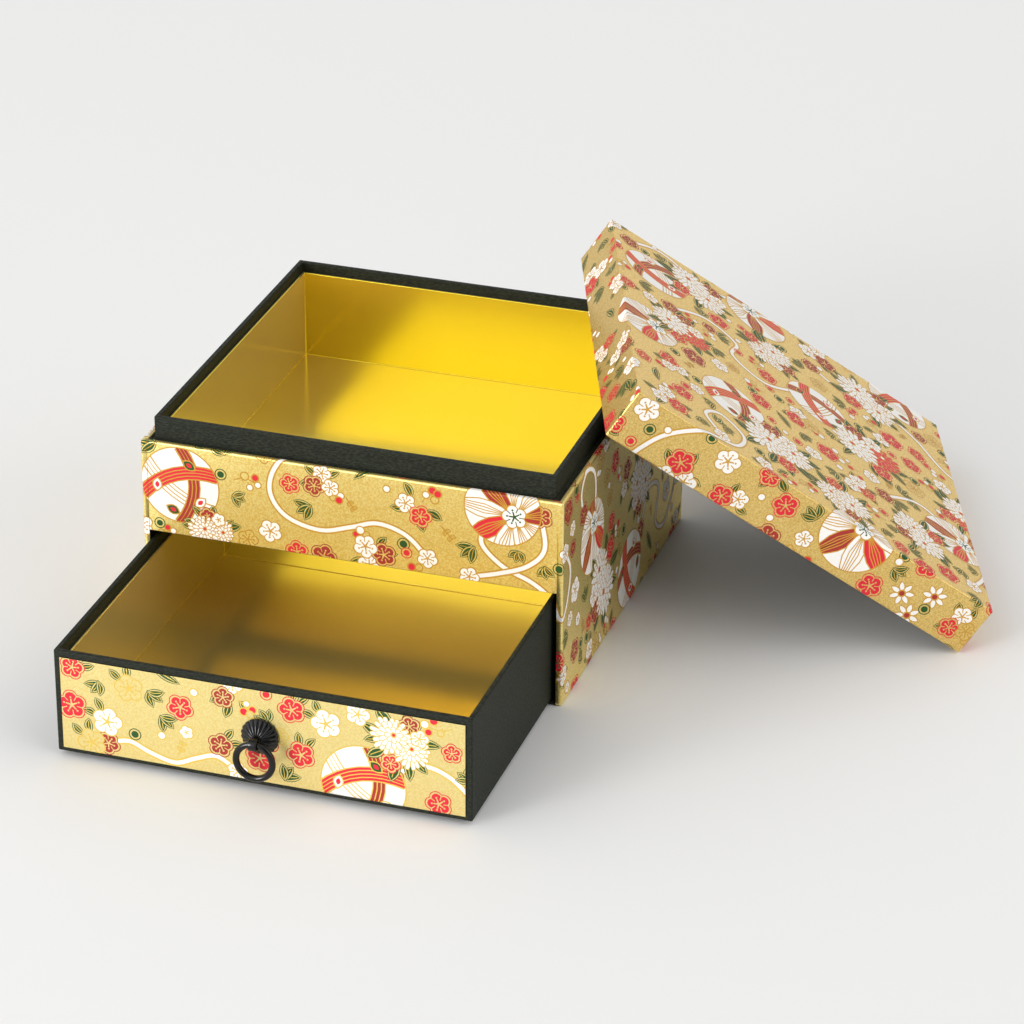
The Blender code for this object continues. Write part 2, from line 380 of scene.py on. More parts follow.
def spline(t: float, a: float, b: float, c: float, d: float) -> float:
    """Returns one coordinate of a smooth curve, a share of the way from b to c."""
    bend, twist = (2 * a - 5 * b + 4 * c - d) * t * t, (3 * b - a - 3 * c + d) * t**3
    return 0.5 * (2 * b + (c - a) * t + bend + twist)


def smooth_line(points: Sequence[Point], steps: int = 6) -> list[Point]:
    """Runs a smooth curve through points.

    Args:
        points: what the curve passes through, in order.
        steps: pieces between each two points.

    Returns:
        The curve as a polyline.
    """
    ends = [points[0], *points, points[-1]]
    line = []
    for four in zip(ends, ends[1:], ends[2:], ends[3:]):
        for step in range(steps):
            line.append(tuple(spline(step / steps, *values) for values in zip(*four)))
    return [*line, points[-1]]


def layers(ink: Ink) -> tuple[tuple[float, Ink], ...]:
    """Says how a motif of one ink is built up.

    Args:
        ink: the motif's own ink.

    Returns:
        Margins in millimetres and their inks, the lowest first.
    """
    if ink in (Ink.WHITE, Ink.BARE):
        return ((0.6, Ink.GOLD), (0.0, ink))
    return ((1.3, ink), (0.85, Ink.BARE), (0.0, ink))


def line_edges(line: list[Point], width: float) -> tuple[list[Point], list[Point]]:
    """Finds the two edges of a line of even width.

    Args:
        line: the points of its middle.
        width: its breadth.

    Returns:
        The left edge and the right edge.
    """
    left, right = [], []
    for before, here, after in zip([line[0], *line], line, [*line[1:], line[-1]]):
        dx, dy = after[0] - before[0], after[1] - before[1]
        long = math.hypot(dx, dy) or 1.0
        nx, ny = -dy / long * width / 2, dx / long * width / 2
        left.append((here[0] + nx, here[1] + ny))
        right.append((here[0] - nx, here[1] - ny))
    return left, right


def between(left: list[Point], right: list[Point], start: int, run: int) -> list[Point]:
    """Returns the outline of a few steps of a line between its two edges.

    Args:
        left: the line's left edge.
        right: its right edge.
        start: the first step.
        run: how many steps the outline takes in.

    Returns:
        Its corners; those of a single step are put in order, so that a sharp bend can't twist it.
    """
    end = start + run + 1
    corners = right[start:end] + left[start:end][::-1]
    if len(corners) == 4:
        x, y = sum(p[0] for p in corners) / 4, sum(p[1] for p in corners) / 4
        corners.sort(key=lambda p: math.atan2(p[1] - y, p[0] - x))
    return corners


@dataclass
class Drawing:
    """A flat drawing for one sheet of paper: closed outlines, each in one ink, the last on top.

    A shape is its corners, its ink and the number of a shape that cuts it off, or -1. A taken place
    is the middle and the radius of a round spot where no more motifs go."""

    seed: int
    shapes: list[tuple[list[Point], Ink, int]] = field(default_factory=list)
    taken: list[tuple[float, float, float]] = field(default_factory=list)

    def __post_init__(self) -> None:
        """Starts the drawing's own chances."""
        self.chance = random.Random(self.seed)

    def shape(self, points: list[Point], ink: Ink, within: int = -1) -> int:
        """Adds a closed outline.

        Args:
            points: its corners.
            ink: its colour.
            within: the number of a shape that cuts it off, or -1.

        Returns:
            The shape's number.
        """
        self.shapes.append((anticlockwise(points), ink, within))
        return len(self.shapes) - 1

    def disc(self, centre: Point, radius: float, ink: Ink, sides: int = 12, within: int = -1) -> int:
        """Adds a round spot and returns its number."""
        corners = [polar(centre, radius, math.tau * i / sides) for i in range(sides)]
        return self.shape(corners, ink, within)

    def stroke(self, line: list[Point], width: float, ink: Ink, within: int = -1, run: int = 4) -> None:
        """Draws a line of even width.

        Args:
            line: the points that it runs through.
            width: its breadth.
            ink: its colour.
            within: the number of a shape that cuts it off, or -1.
            run: steps of the line in one outline; 1 lets it bend as sharply as its own width.
        """
        left, right = line_edges(line, width)
        for start in range(0, len(line) - 1, run):
            self.shape(between(left, right, start, run), ink, within)

    def petals(self, centre: Point, radius: float, turn: float, grow: float) -> list[Point]:
        """Finds the outline of five round petals.

        Args:
            centre: the flower's middle.
            radius: the reach of its petals.
            turn: the way that the first petal points.
            grow: a margin added all round.

        Returns:
            The outline.
        """
        # A petal is a circle: how far out its middle stands and its radius, as shares of the reach.
        middle, round_end, corners = 0.56, 0.44, 30
        outline = []
        for i in range(corners):
            angle = math.tau * i / corners
            off = (angle + math.pi / 5) % (math.tau / 5) - math.pi / 5
            lobe = middle * math.cos(off) + math.sqrt(round_end**2 - (middle * math.sin(off)) ** 2)
            outline.append(polar(centre, radius * lobe + grow, angle + turn))
        return outline

    def star(
        self, centre: Point, count: int, inner: float, outer: float, turn: float, width: float, ink: Ink
    ) -> None:
        """Draws spokes that meet in the middle, as a flower's stamens do.

        Args:
            centre: where they meet.
            count: how many there are.
            inner: the radius of the notches between them.
            outer: their reach.
            turn: the way that the first one points.
            width: the breadth of their tips.
            ink: their colour.
        """
        points = []
        for i in range(count):
            angle = turn + math.tau * i / count
            points.append(polar(centre, outer, angle - width / 2 / outer))
            points.append(polar(centre, outer, angle + width / 2 / outer))
            points.append(polar(centre, inner, angle + math.pi / count))
        self.shape(points, ink)

    def blossom(self, centre: Point, radius: float, ink: Ink, heart: Ink = Ink.GOLD) -> None:
        """Draws a plum blossom.

        Args:
            centre: its middle.
            radius: the reach of its petals.
            ink: the petals' colour, or BARE for one drawn in gold line alone.
            heart: the stamens' colour; a red blossom leaves the ground bare there.
        """
        turn = self.chance.uniform(0, math.tau)
        for grow, colour in layers(ink):
            self.shape(self.petals(centre, radius, turn, grow), colour)
        line = Ink.BARE if ink in (Ink.RED, Ink.CRIMSON) else heart
        if radius > 3.6:
            for i in range(5):
                notch = turn + math.tau * (i + 0.5) / 5
                self.stroke([polar(centre, radius * reach, notch) for reach in (0.4, 0.8)], 0.45, line)
                self.disc(polar(centre, radius * 0.6, turn + math.tau * i / 5), 0.55, line, 5)
        self.star(centre, 5, 0.12 * radius, 0.48 * radius, turn, 0.6, line)

    def petal(
        self, centre: Point, inner: float, outer: float, angle: float, half: float, grow: float
    ) -> list[Point]:
        """Finds the outline of one long round-ended petal.

        Args:
            centre: the flower's middle.
            inner: the radius that it starts from.
            outer: the radius that it reaches.
            angle: the way that it points.
            half: half its breadth.
            grow: a margin added all round.

        Returns:
            The outline.
        """
        outline = []
        for share, wide in ((0.0, 0.4), (0.62, 1.0), (0.92, 0.8), (1.0, 0.3)):
            outline.append((inner - grow + (outer - inner + 2 * grow) * share, half * wide + grow))
        return [aside(centre, angle, x, side * y) for side in (1, -1) for x, y in outline[::side]]

    def chrysanthemum(self, centre: Point, radius: float, ink: Ink = Ink.WHITE) -> None:
        """Draws a chrysanthemum: three rings of long petals round a heart that is a little off its middle.

        Args:
            centre: its middle.
            radius: its reach.
            ink: the petals' colour.
        """
        turn = self.chance.uniform(0, math.tau)
        heart = polar(centre, radius * 0.16, turn)
        for count, inner, outer, half, off in (
            (19, 0.36, 1.0, 0.1, 0.0),
            (14, 0.22, 0.74, 0.1, 0.5),
            (8, 0.06, 0.44, 0.1, 1.0),
        ):
            middle = tuple(centre[i] + (heart[i] - centre[i]) * off for i in (0, 1))
            for i in range(count):
                angle = turn + math.tau * (i + outer) / count + self.chance.uniform(-0.05, 0.05)
                reach = outer * self.chance.uniform(0.88, 1.06)
                sizes = (inner * radius, reach * radius, angle, half * radius)
                for grow, colour in ((0.32, Ink.GOLD), (0.0, ink)):
                    self.shape(self.petal(middle, *sizes, grow), colour)
        self.disc(heart, 0.15 * radius, Ink.GOLD, 8)
        self.disc(heart, 0.09 * radius, Ink.WHITE if ink != Ink.WHITE else Ink.RED, 6)

    def lens(
        self, centre: Point, angle: float, length: float, width: float, bend: float = 0.0
    ) -> list[Point]:
        """Finds the outline of a pointed oval.

        Args:
            centre: its middle.
            angle: the way that it points.
            length: from tip to tip.
            width: its breadth.
            bend: how far its middle is pushed aside, as a leaf's is.

        Returns:
            The outline.
        """
        points = []
        for side in (1, -1):
            for step in range(6)[::side]:
                t = step / 5
                x = (t - 0.5) * length
                y = side * width / 2 * math.sin(math.pi * t) ** 0.8 + bend * math.sin(math.pi * t)
                if 0 < step < 5 or side == 1:
                    points.append(aside(centre, angle, x, y))
        return points

    def starflower(self, centre: Point, radius: float) -> None:
        """Draws a white flower with seven pointed petals and a crimson heart.

        Args:
            centre: its middle.
            radius: the reach of its petals.
        """
        turn = self.chance.uniform(0, math.tau)
        for i in range(7):
            angle = turn + math.tau * i / 7
            for grow, colour in ((1.0, Ink.GOLD), (0.0, Ink.WHITE)):
                middle = polar(centre, radius * 0.6, angle)
                self.shape(self.lens(middle, angle, radius * 0.8 + grow, radius * 0.36 + grow), colour)
        self.disc(centre, radius * 0.34, Ink.GOLD)
        self.disc(centre, radius * 0.22, Ink.CRIMSON)

    def leaf(
        self, root: Point, angle: float, length: float, ink: Ink = Ink.GREEN, slim: float = 0.42
    ) -> None:
        """Draws a leaf with a rib in gold.

        Args:
            root: where it starts.
            angle: the way that it points.
            length: from root to tip.
            ink: its colour.
            slim: its breadth as a share of its length.
        """
        bend = length * self.chance.uniform(-0.13, 0.13)
        middle = polar(root, length / 2, angle)
        for grow, colour in layers(ink):
            long, wide = length + 1.4 * grow, length * slim + 1.6 * grow
            self.shape(self.lens(middle, angle, long, wide, bend), colour)
        steps = ((0.05, 0.15), (0.4, 0.95), (0.85, 0.45))
        rib = [aside(root, angle, length * along, bend * rise) for along, rise in steps]
        self.stroke(rib, 0.4, Ink.GOLD)

    def berries(self, root: Point, angle: float, size: float) -> None:
        """Draws a twig with four berries.

        Args:
            root: where it starts.
            angle: the way that it points.
            size: half its length, about.
        """
        tip = polar(root, size * 1.8, angle)
        bow = polar(polar(root, size * 0.9, angle), size * 0.3, angle + 1.6)
        self.stroke(smooth_line([root, bow, tip], 3), 0.5, Ink.GOLD, run=1)
        inks = [Ink.WHITE, self.chance.choice((Ink.RED, Ink.WHITE)), Ink.RED, Ink.BARE]
        self.chance.shuffle(inks)
        for share, side, ink in zip((0.4, 0.65, 0.9, 1.1), (1, -1, 1, -0.3), inks):
            knot = polar(root, size * 1.8 * share, angle)
            spot = polar(knot, size * 0.5 * abs(side), angle + math.copysign(1.2, side))
            self.stroke([knot, spot], 0.45, Ink.GOLD)
            radius = self.chance.uniform(1.25, 1.8)
            self.disc(spot, radius + 0.6, Ink.GOLD)
            self.disc(spot, radius, ink)

    def sprig(self, root: Point, angle: float, size: float) -> None:
        """Draws a sprig in gold line alone: a stem with small open leaves.

        Args:
            root: where it starts.
            angle: the way that it points.
            size: half its length.
        """
        self.stroke([root, polar(root, size * 2, angle)], 0.5, Ink.GOLD)
        for share in (0.35, 0.75):
            for side in (-1, 1):
                knot = polar(root, size * 2 * share, angle)
                self.leaf(knot, angle + side * 0.8, size * 0.6, Ink.BARE, 0.5)

    def spray(self, centre: Point, size: float) -> None:
        """Draws a handful of blossoms with leaves and a twig behind them.

        Args:
            centre: its middle.
            size: its reach.
        """
        turn = self.chance.uniform(0, math.tau)
        for i in range(self.chance.choice((3, 4, 5))):
            angle = turn + i * 1.25 + self.chance.uniform(-0.3, 0.3)
            slim = self.chance.uniform(0.3, 0.42)
            length = size * self.chance.uniform(0.45, 0.62)
            self.leaf(polar(centre, size * 0.42, angle), angle, length, Ink.GREEN, slim)
        self.berries(polar(centre, size * 0.3, turn - 1.6), turn - 1.6, size * 0.36)
        second = self.chance.choice((Ink.RED, Ink.RED, Ink.CRIMSON))
        inks = [Ink.WHITE, second, self.chance.choice((Ink.WHITE, Ink.BARE, Ink.WHITE))]
        for i, ink in enumerate(inks[: self.chance.choice((2, 3))]):
            radius = size * self.chance.uniform(0.36, 0.46)
            self.blossom(polar(centre, size * 0.42, turn + 0.7 + i * 2.1), radius, ink)

    def bouquet(self, centre: Point, size: float, ink: Ink = Ink.WHITE) -> None:
        """Draws a close bunch: chrysanthemums over long leaves, with blossoms tucked in.

        Args:
            centre: its middle.
            size: its reach.
            ink: the colour of the second chrysanthemum.
        """
        self.taken.append((*centre, size * 0.95))
        turn = self.chance.uniform(0, math.tau)
        for i in range(10):
            angle = turn + math.tau * i / 10 + self.chance.uniform(-0.25, 0.25)
            length = size * self.chance.uniform(0.5, 0.75)
            slim = self.chance.uniform(0.24, 0.4)
            self.leaf(polar(centre, size * 0.52, angle), angle, length, Ink.GREEN, slim)
        self.blossom(polar(centre, size * 0.7, turn + 4.2), size * 0.27, Ink.CRIMSON)
        self.blossom(polar(centre, size * 0.72, turn + 1.1), size * 0.25, Ink.RED)
        self.chrysanthemum(polar(centre, size * 0.4, turn + 2.6), size * 0.56, ink)
        self.chrysanthemum(polar(centre, size * 0.34, turn + 5.5), size * 0.62)
        self.blossom(polar(centre, size * 0.66, turn + 3.5), size * 0.27, Ink.WHITE)

    def ribbon(self, points: Sequence[Point], width: float = 2.0, edge: float = 0.8) -> None:
        """Draws a white ribbon between gold edges, which passes over itself and ends under blossoms.

        Args:
            points: what its middle runs through.
            width: the white between the edges.
            edge: the breadth of each gold edge.
        """
        line = smooth_line(points, 6)
        gold, white = line_edges(line, width + 2 * edge), line_edges(line, width)
        for start in range(len(line) - 1):
            self.shape(between(*gold, start, 1), Ink.GOLD)
            self.shape(between(*white, start, 1), Ink.WHITE)
        self.taken.extend((*spot, width / 2 + edge) for spot in line[::2])
        for end, ink in ((points[0], Ink.CRIMSON), (points[-1], Ink.WHITE)):
            self.taken.append((*end, 5.5))
            self.blossom(end, 4.8, ink)

    def band(
        self, ball: int, centre: Point, radius: float, angle: float, bow: float, width: float, ink: Ink
    ) -> None:
        """Winds one striped band of thread across a ball.

        Args:
            ball: the number of the ball's own disc, which cuts the band off.
            centre: the ball's middle.
            radius: the ball's radius.
            angle: the way that the band runs.
            bow: how far its middle stands from the ball's, as a share of the radius.
            width: its breadth.
            ink: the thread's colour.
        """
        stripes = max(2, round(width / 1.7))
        for number in range(-1, stripes):
            shift = width * ((number + 0.5) / stripes - 0.5) if number >= 0 else 0.0
            line = []
            for step in range(9):
                share = step / 4 - 1
                height = radius * bow * (1 - share**2) + shift
                line.append(aside(centre, angle, radius * 1.05 * share, height))
            wide = width / stripes - 0.55 if number >= 0 else width + 0.6
            self.stroke(line, wide, ink if number >= 0 else Ink.GOLD, ball)

    def start_ball(self, centre: Point, radius: float) -> int:
        """Draws a ball's white ground.

        Args:
            centre: its middle.
            radius: its radius.

        Returns:
            The ground's number.
        """
        self.taken.append((*centre, radius + 1.5))
        self.disc(centre, radius + 0.6, Ink.GOLD, 48)
        return self.disc(centre, radius, Ink.WHITE, 48)

    def temari(self, centre: Point, radius: float, turn: float) -> None:
        """Draws a thread-wound ball with bands, and inserts like eyes between them.

        Args:
            centre: its middle.
            radius: its radius.
            turn: the way that its front band runs.
        """
        ball = self.start_ball(centre, radius)
        self.band(ball, centre, radius, turn + 2.2, 0.25, radius * 0.3, Ink.WHITE)
        self.band(ball, centre, radius, turn + 1.2, -0.38, radius * 0.3, Ink.CRIMSON)
        self.band(ball, centre, radius, turn, 0.3, radius * 0.36, Ink.RED)
        for reach, angle, fill in (
            (0.62, 0.8, Ink.GREEN),
            (0.66, -1.0, Ink.WHITE),
            (0.6, 2.9, Ink.WHITE),
            (0.72, -2.2, Ink.GREEN),
        ):
            spot = polar(centre, radius * reach, turn + angle)
            for size, ink in ((1.0, Ink.GOLD), (0.78, fill), (0.42, Ink.RED)):
                eye = self.lens(spot, turn + angle + 1.4, radius * 0.42 * size, radius * 0.27 * size)
                self.shape(eye, ink, ball)

    def wound_ball(self, centre: Point, radius: float, turn: float) -> None:
        """Draws a ball wound in pointed gores that meet under a blossom.

        Args:
            centre: its middle.
            radius: its radius.
            turn: the side that the blossom sits on.
        """
        ball = self.start_ball(centre, radius)
        knot = polar(centre, radius * 0.35, turn)
        for i in range(9):
            angle = turn + math.tau * i / 9
            middle = polar(knot, radius * 0.8, angle)
            self.shape(self.lens(middle, angle, radius * 1.62, radius * 0.56), Ink.GOLD, ball)
            ink = Ink.CRIMSON if i in (1, 4) else Ink.RED if i == 6 else Ink.WHITE
            self.shape(self.lens(middle, angle, radius * 1.5, radius * 0.56 - 1.2), ink, ball)
            for side in (-0.16, -0.055, 0.055, 0.16):
                line = [polar(knot, radius * t, angle + side * math.sin(t * 2)) for t in (0.2, 0.8, 1.4)]
                self.stroke(line, 0.5, Ink.GOLD, ball)
        self.blossom(knot, radius * 0.32, Ink.WHITE, Ink.GREEN)

    def free(self, centre: Point, radius: float) -> bool:
        """Takes a round place, if it is still empty.

        Args:
            centre: its middle.
            radius: its radius.

        Returns:
            Whether it was empty.
        """
        if any(math.hypot(centre[0] - x, centre[1] - y) < radius + r for x, y, r in self.taken):
            return False
        self.taken.append((*centre, radius))
        return True

    def scatter(self, low: Point, high: Point, kind: Motif, size: float, tries: int) -> None:
        """Fills what is left of a rectangle with one kind of motif.

        Args:
            low: the rectangle's lower left corner.
            high: its upper right corner.
            kind: what is drawn.
            size: the motif's radius.
            tries: places that are tried.
        """
        for _ in range(tries):
            centre = (self.chance.uniform(low[0], high[0]), self.chance.uniform(low[1], high[1]))
            radius = size * self.chance.uniform(0.85, 1.15)
            if not self.free(centre, radius):
                continue
            angle = self.chance.uniform(0, math.tau)
            root = polar(centre, radius * 0.9, angle + math.pi)
            if kind == Motif.SPRAY:
                self.spray(centre, radius)
            elif kind == Motif.BLOSSOM:
                ink = self.chance.choice((Ink.WHITE, Ink.WHITE, Ink.RED, Ink.RED, Ink.CRIMSON, Ink.BARE))
                self.blossom(centre, radius * 0.85, ink)
            elif kind == Motif.BERRIES:
                self.berries(root, angle, radius)
            elif kind == Motif.LEAVES:
                for side in (-0.7, 0.05, 0.7):
                    self.leaf(root, angle + side, radius * 1.5, Ink.GREEN, 0.34)
            elif kind == Motif.SPRIG:
                self.sprig(root, angle, radius * 0.8)
            elif kind == Motif.BLADE:
                self.leaf(root, angle, radius * 1.9, Ink.GREEN, 0.2)
            else:
                ink = self.chance.choice((Ink.RED, Ink.WHITE, Ink.GREEN))
                for grow, colour in layers(ink):
                    self.disc(centre, radius + grow, colour, 14)

    def fill(self, low: Point, high: Point, dense: float, leafy: float = 1.0) -> None:
        """Fills a rectangle with motifs of every kind, the large ones first.

        Args:
            low: the rectangle's lower left corner.
            high: its upper right corner.
            dense: tries for each square centimetre.
            leafy: how many more tries leaves get.
        """
        area = (high[0] - low[0]) * (high[1] - low[1]) / 100
        for kind, size, share in (
            (Motif.SPRAY, 12.5, 0.3),
            (Motif.BLOSSOM, 6.6, 0.35),
            (Motif.BLADE, 7.5, 0.1 * leafy),
            (Motif.BERRIES, 5.6, 0.3),
            (Motif.LEAVES, 5.4, 0.25 * leafy),
            (Motif.BLOSSOM, 5.0, 0.5),
            (Motif.SPRIG, 5.0, 0.3),
            (Motif.LEAVES, 4.0, 0.3 * leafy),
            (Motif.BLOSSOM, 4.0, 0.4),
            (Motif.DOT, 1.7, 0.4),
        ):
            self.scatter(low, high, kind, size, round(area * dense * share))


@dataclass(frozen=True)
class Panel:
    """A side of a board that printed paper covers.

    The outline lies on the sheet, and the sheet's point foot comes to lie at the origin on the box. The
    sheet runs along and up from there, sunk by some millimetres where a board is set back."""

    outline: tuple[Point, ...]
    foot: Point
    origin: Vector
    along: Vector
    up: Vector
    sunk: float = 0.0


@dataclass
class PrintedSheet:
    """The inks on one sheet of paper, folded round the edges of a box of boards.

    The box goes from low to high, and its edges are rounded. Its folds are where the sheet bends, first
    those across its length, then those across its height. The inks stand off the paper by the lift, and
    the drawing is cut in tiles."""

    name: str
    drawing: Drawing
    panels: list[Panel]
    low: Vector
    high: Vector
    rounding: float
    folds: tuple[list[float], list[float]]
    lift: float = 0.06
    tile: float = 42.0

    def core(self, spot: Vector) -> Vector:
        """Finds the point of the box's core, shrunk by its rounding, that is nearest to a spot.

        Args:
            spot: a place in millimetres.

        Returns:
            The core's point.
        """
        r = self.rounding
        return Vector([min(max(spot[i], self.low[i] + r), self.high[i] - r) for i in range(3)])

    def place(self, panel: Panel, u: float, v: float) -> Vector:
        """Finds where a point of the sheet comes to lie on the rounded box.

        Args:
            panel: the side of the box.
            u: the point's distance along the sheet.
            v: its distance up the sheet.

        Returns:
            The place in millimetres.
        """
        sharp = panel.origin + panel.along * (u - panel.foot[0]) + panel.up * (v - panel.foot[1])
        core = self.core(sharp)
        return core + (sharp - core).normalized() * (self.rounding + self.lift - panel.sunk)

    def creases(self, low: Point, high: Point) -> list[tuple[Point, Point]]:
        """Finds the lines along which the sheet bends, beside each fold of the boards.

        Args:
            low: the lower left corner of a rectangle.
            high: its upper right corner.

        Returns:
            The two ends of each line that crosses the rectangle.
        """
        lines, steps = [], 4
        for axis in (0, 1):
            for fold in self.folds[axis]:
                for step in range(steps):
                    inset = self.rounding * (1 - math.tan(math.pi * step / (4 * steps)))
                    for line in (fold - inset, fold + inset):
                        if low[axis] < line < high[axis]:
                            across = [(line, low[1] - 1), (line, high[1] + 1)]
                            along = [(low[0] - 1, line), (high[0] + 1, line)]
                            lines.append(tuple(along if axis else across))
        return lines

    def cut(
        self, panel: Panel, low: Point, high: Point
    ) -> tuple[list[Vector], list[tuple[list[int], Ink]]]:
        """Cuts the drawing along one tile of one panel.

        Args:
            panel: the side of the box.
            low: the tile's lower left corner.
            high: its upper right corner.

        Returns:
            The points on the sheet, and the inked faces between them.
        """
        points = [Vector(p) for p in (*panel.outline, *rectangle(low, high))]
        faces = [list(range(len(panel.outline))), list(range(len(panel.outline), len(points)))]
        numbers = [-1, -1]
        for number, (shape, _, _) in enumerate(self.drawing.shapes):
            xs, ys = [p[0] for p in shape], [p[1] for p in shape]
            if max(xs) > low[0] and min(xs) < high[0] and max(ys) > low[1] and min(ys) < high[1]:
                faces.append(list(range(len(points), len(points) + len(shape))))
                points.extend(Vector(p) for p in shape)
                numbers.append(number)
        edges = []
        for ends in self.creases(low, high):
            edges.append((len(points), len(points) + 1))
            points.extend(Vector(p) for p in ends)
        inside_only, nearness = 1, 1e-5
        made = delaunay_2d_cdt(points, edges, faces, inside_only, nearness, True)
        inked = []
        for corners, sources in zip(made[2], made[5]):
            if 0 not in sources or 1 not in sources:
                continue
            found = {numbers[i] for i in sources if i > 1}
            for number in sorted(found, reverse=True):
                _, ink, within = self.drawing.shapes[number]
                if within == -1 or within in found:
                    if ink != Ink.BARE:
                        inked.append((list(corners), ink))
                    break
        return made[0], inked

    def tiles(self, panel: Panel) -> list[tuple[Point, Point]]:
        """Divides a panel into tiles, which keeps each cut small and quick.

        Args:
            panel: the side of the box.

        Returns:
            The lower left and upper right corners of each tile.
        """
        low = [min(p[i] for p in panel.outline) for i in (0, 1)]
        high = [max(p[i] for p in panel.outline) for i in (0, 1)]
        counts = [math.ceil((high[i] - low[i]) / self.tile) for i in (0, 1)]
        step = [(high[i] - low[i]) / counts[i] for i in (0, 1)]
        return [
            (
                (low[0] + column * step[0], low[1] + row * step[1]),
                (low[0] + (column + 1) * step[0], low[1] + (row + 1) * step[1]),
            )
            for column in range(counts[0])
            for row in range(counts[1])
        ]

    def build(self, inks: dict[Ink, bpy.types.Material], matrix: Matrix) -> bpy.types.Object:
        """Folds the print round the box.

        Args:
            inks: the material of each ink.
            matrix: the box's place in the part, in metres.

        Returns:
            The print as one object.
        """
        places, faces, colours = [], [], []
        middle = (self.low + self.high) / 2
        for panel in self.panels:
            outward = panel.origin + 10 * (panel.along + panel.up) - middle
            forward = panel.along.cross(panel.up).dot(outward) > 0
            for low, high in self.tiles(panel):
                points, inked = self.cut(panel, low, high)
                used = sorted({i for corners, _ in inked for i in corners})
                number = {old: len(places) + new for new, old in enumerate(used)}
                places.extend(self.place(panel, *points[i]) * MM for i in used)
                for corners, ink in inked:
                    faces.append([number[i] for i in (corners if forward else corners[::-1])])
                    colours.append(ink.value)
        thing = start_mesh(self.name, places, faces)
        mesh = thing.data
        for ink in list(Ink)[1:]:
            mesh.materials.append(inks[ink])
        mesh.polygons.foreach_set("material_index", colours)
        bpy.ops.object.mode_set(mode="EDIT")
        bpy.ops.mesh.select_all(action="SELECT")
        bpy.ops.mesh.remove_doubles(threshold=WELD)
        bpy.ops.mesh.dissolve_limited(angle_limit=FLAT, delimit={"MATERIAL"})
        bpy.ops.mesh.quads_convert_to_tris()
        bpy.ops.object.mode_set(mode="OBJECT")
        bpy.ops.object.shade_smooth()
        mesh.normals_split_custom_set_from_vertices(
            [(vertex.co / MM - self.core(vertex.co / MM)).normalized() for vertex in mesh.vertices]
        )
        mesh.transform(matrix)
        return thing


def only(thing: bpy.types.Object) -> None:
    """Makes one object the selected and active one.

    Args:
        thing: the object.
    """
    bpy.ops.object.select_all(action="DESELECT")
    thing.select_set(True)
    bpy.context.view_layer.objects.active = thing


def start_mesh(name: str, places: Sequence[Vector], faces: Sequence[Sequence[int]]) -> bpy.types.Object:
    """Starts a piece from points and the faces between them.

    Args:
        name: the piece's name.
        places: the points, in metres.
        faces: the numbers of each face's corners.

    Returns:
        The piece, the only one selected.
    """
    mesh = bpy.data.meshes.new(name)
    mesh.from_pydata(places, [], faces)
    thing = bpy.data.objects.new(name, mesh)
    bpy.context.scene.collection.objects.link(thing)
    only(thing)
    return thing


def pick_faces(thing: bpy.types.Object, wanted: Callable[[Vector, Vector], bool]) -> None:
    """Selects faces of the object in edit mode.

    Args:
        thing: the object.
        wanted: a test of a face's middle, in millimetres, and its normal.
    """
    bpy.ops.mesh.select_all(action="DESELECT")
    bpy.ops.object.mode_set(mode="OBJECT")
    for face in thing.data.polygons:
        face.select = bool(wanted(face.center / MM, face.normal))
    bpy.ops.object.mode_set(mode="EDIT")


def pick_edges(thing: bpy.types.Object, wanted: Callable[[Vector, Vector], bool]) -> None:
    """Selects edges of the object in edit mode.

    Args:
        thing: the object.
        wanted: a test of an edge's two ends, in millimetres.
    """
    bpy.ops.mesh.select_mode(type="EDGE")
    bpy.ops.mesh.select_all(action="DESELECT")
    bpy.ops.object.mode_set(mode="OBJECT")
    spots = [vertex.co / MM for vertex in thing.data.vertices]
    for edge in thing.data.edges:
        edge.select = bool(wanted(*(spots[i] for i in edge.vertices)))
    bpy.ops.object.mode_set(mode="EDIT")


def start_block(name: str, low: Vector, high: Vector, rounding: float, steps: int = 4) -> bpy.types.Object:
    """Starts a piece as a block between two corners, with all its edges rounded.

    Args:
        name: the piece's name.
        low: its lowest corner.
        high: its highest corner.
        rounding: the radius of its edges.
        steps: faces round each edge.

    Returns:
        The block, in edit mode with face selection.
    """
    bpy.ops.object.select_all(action="DESELECT")
    bpy.ops.mesh.primitive_cube_add(size=1.0)
    thing = bpy.context.active_object
    thing.name = thing.data.name = name
    bpy.ops.object.mode_set(mode="EDIT")
    bpy.ops.mesh.select_all(action="SELECT")
    bpy.ops.transform.resize(value=(high - low) * MM)
    bpy.ops.transform.translate(value=(high + low) / 2 * MM)
    if rounding:
        bpy.ops.mesh.bevel(offset=rounding * MM, segments=steps, affect="EDGES")
    bpy.ops.mesh.select_mode(type="FACE")
    return thing


def push(distance: Vector) -> None:
    """Extrudes the selected faces by a distance in millimetres."""
    bpy.ops.mesh.extrude_region_move(TRANSFORM_OT_translate={"value": distance * MM})


def finish_piece(
    thing: bpy.types.Object,
    body: str,
    replaces: tuple[str, ...],
    materials: list[bpy.types.Material],
) -> bpy.types.Object:
    """Dresses a piece and hands it to its body.

    Args:
        thing: the piece, whose mesh already holds its place.
        body: the CAD body that it moves with.
        replaces: the CAD nodes that it stands for.
        materials: what its faces wear, by their index.

    Returns:
        The piece.
    """
    if thing.mode == "EDIT":
        bpy.ops.object.mode_set(mode="OBJECT")
    for material in materials:
        thing.data.materials.append(material)
    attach(thing, body)
    if replaces:
        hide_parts(*replaces)
    LOG.info("%s: %d faces, on %s", thing.name, len(thing.data.polygons), body)
    return thing


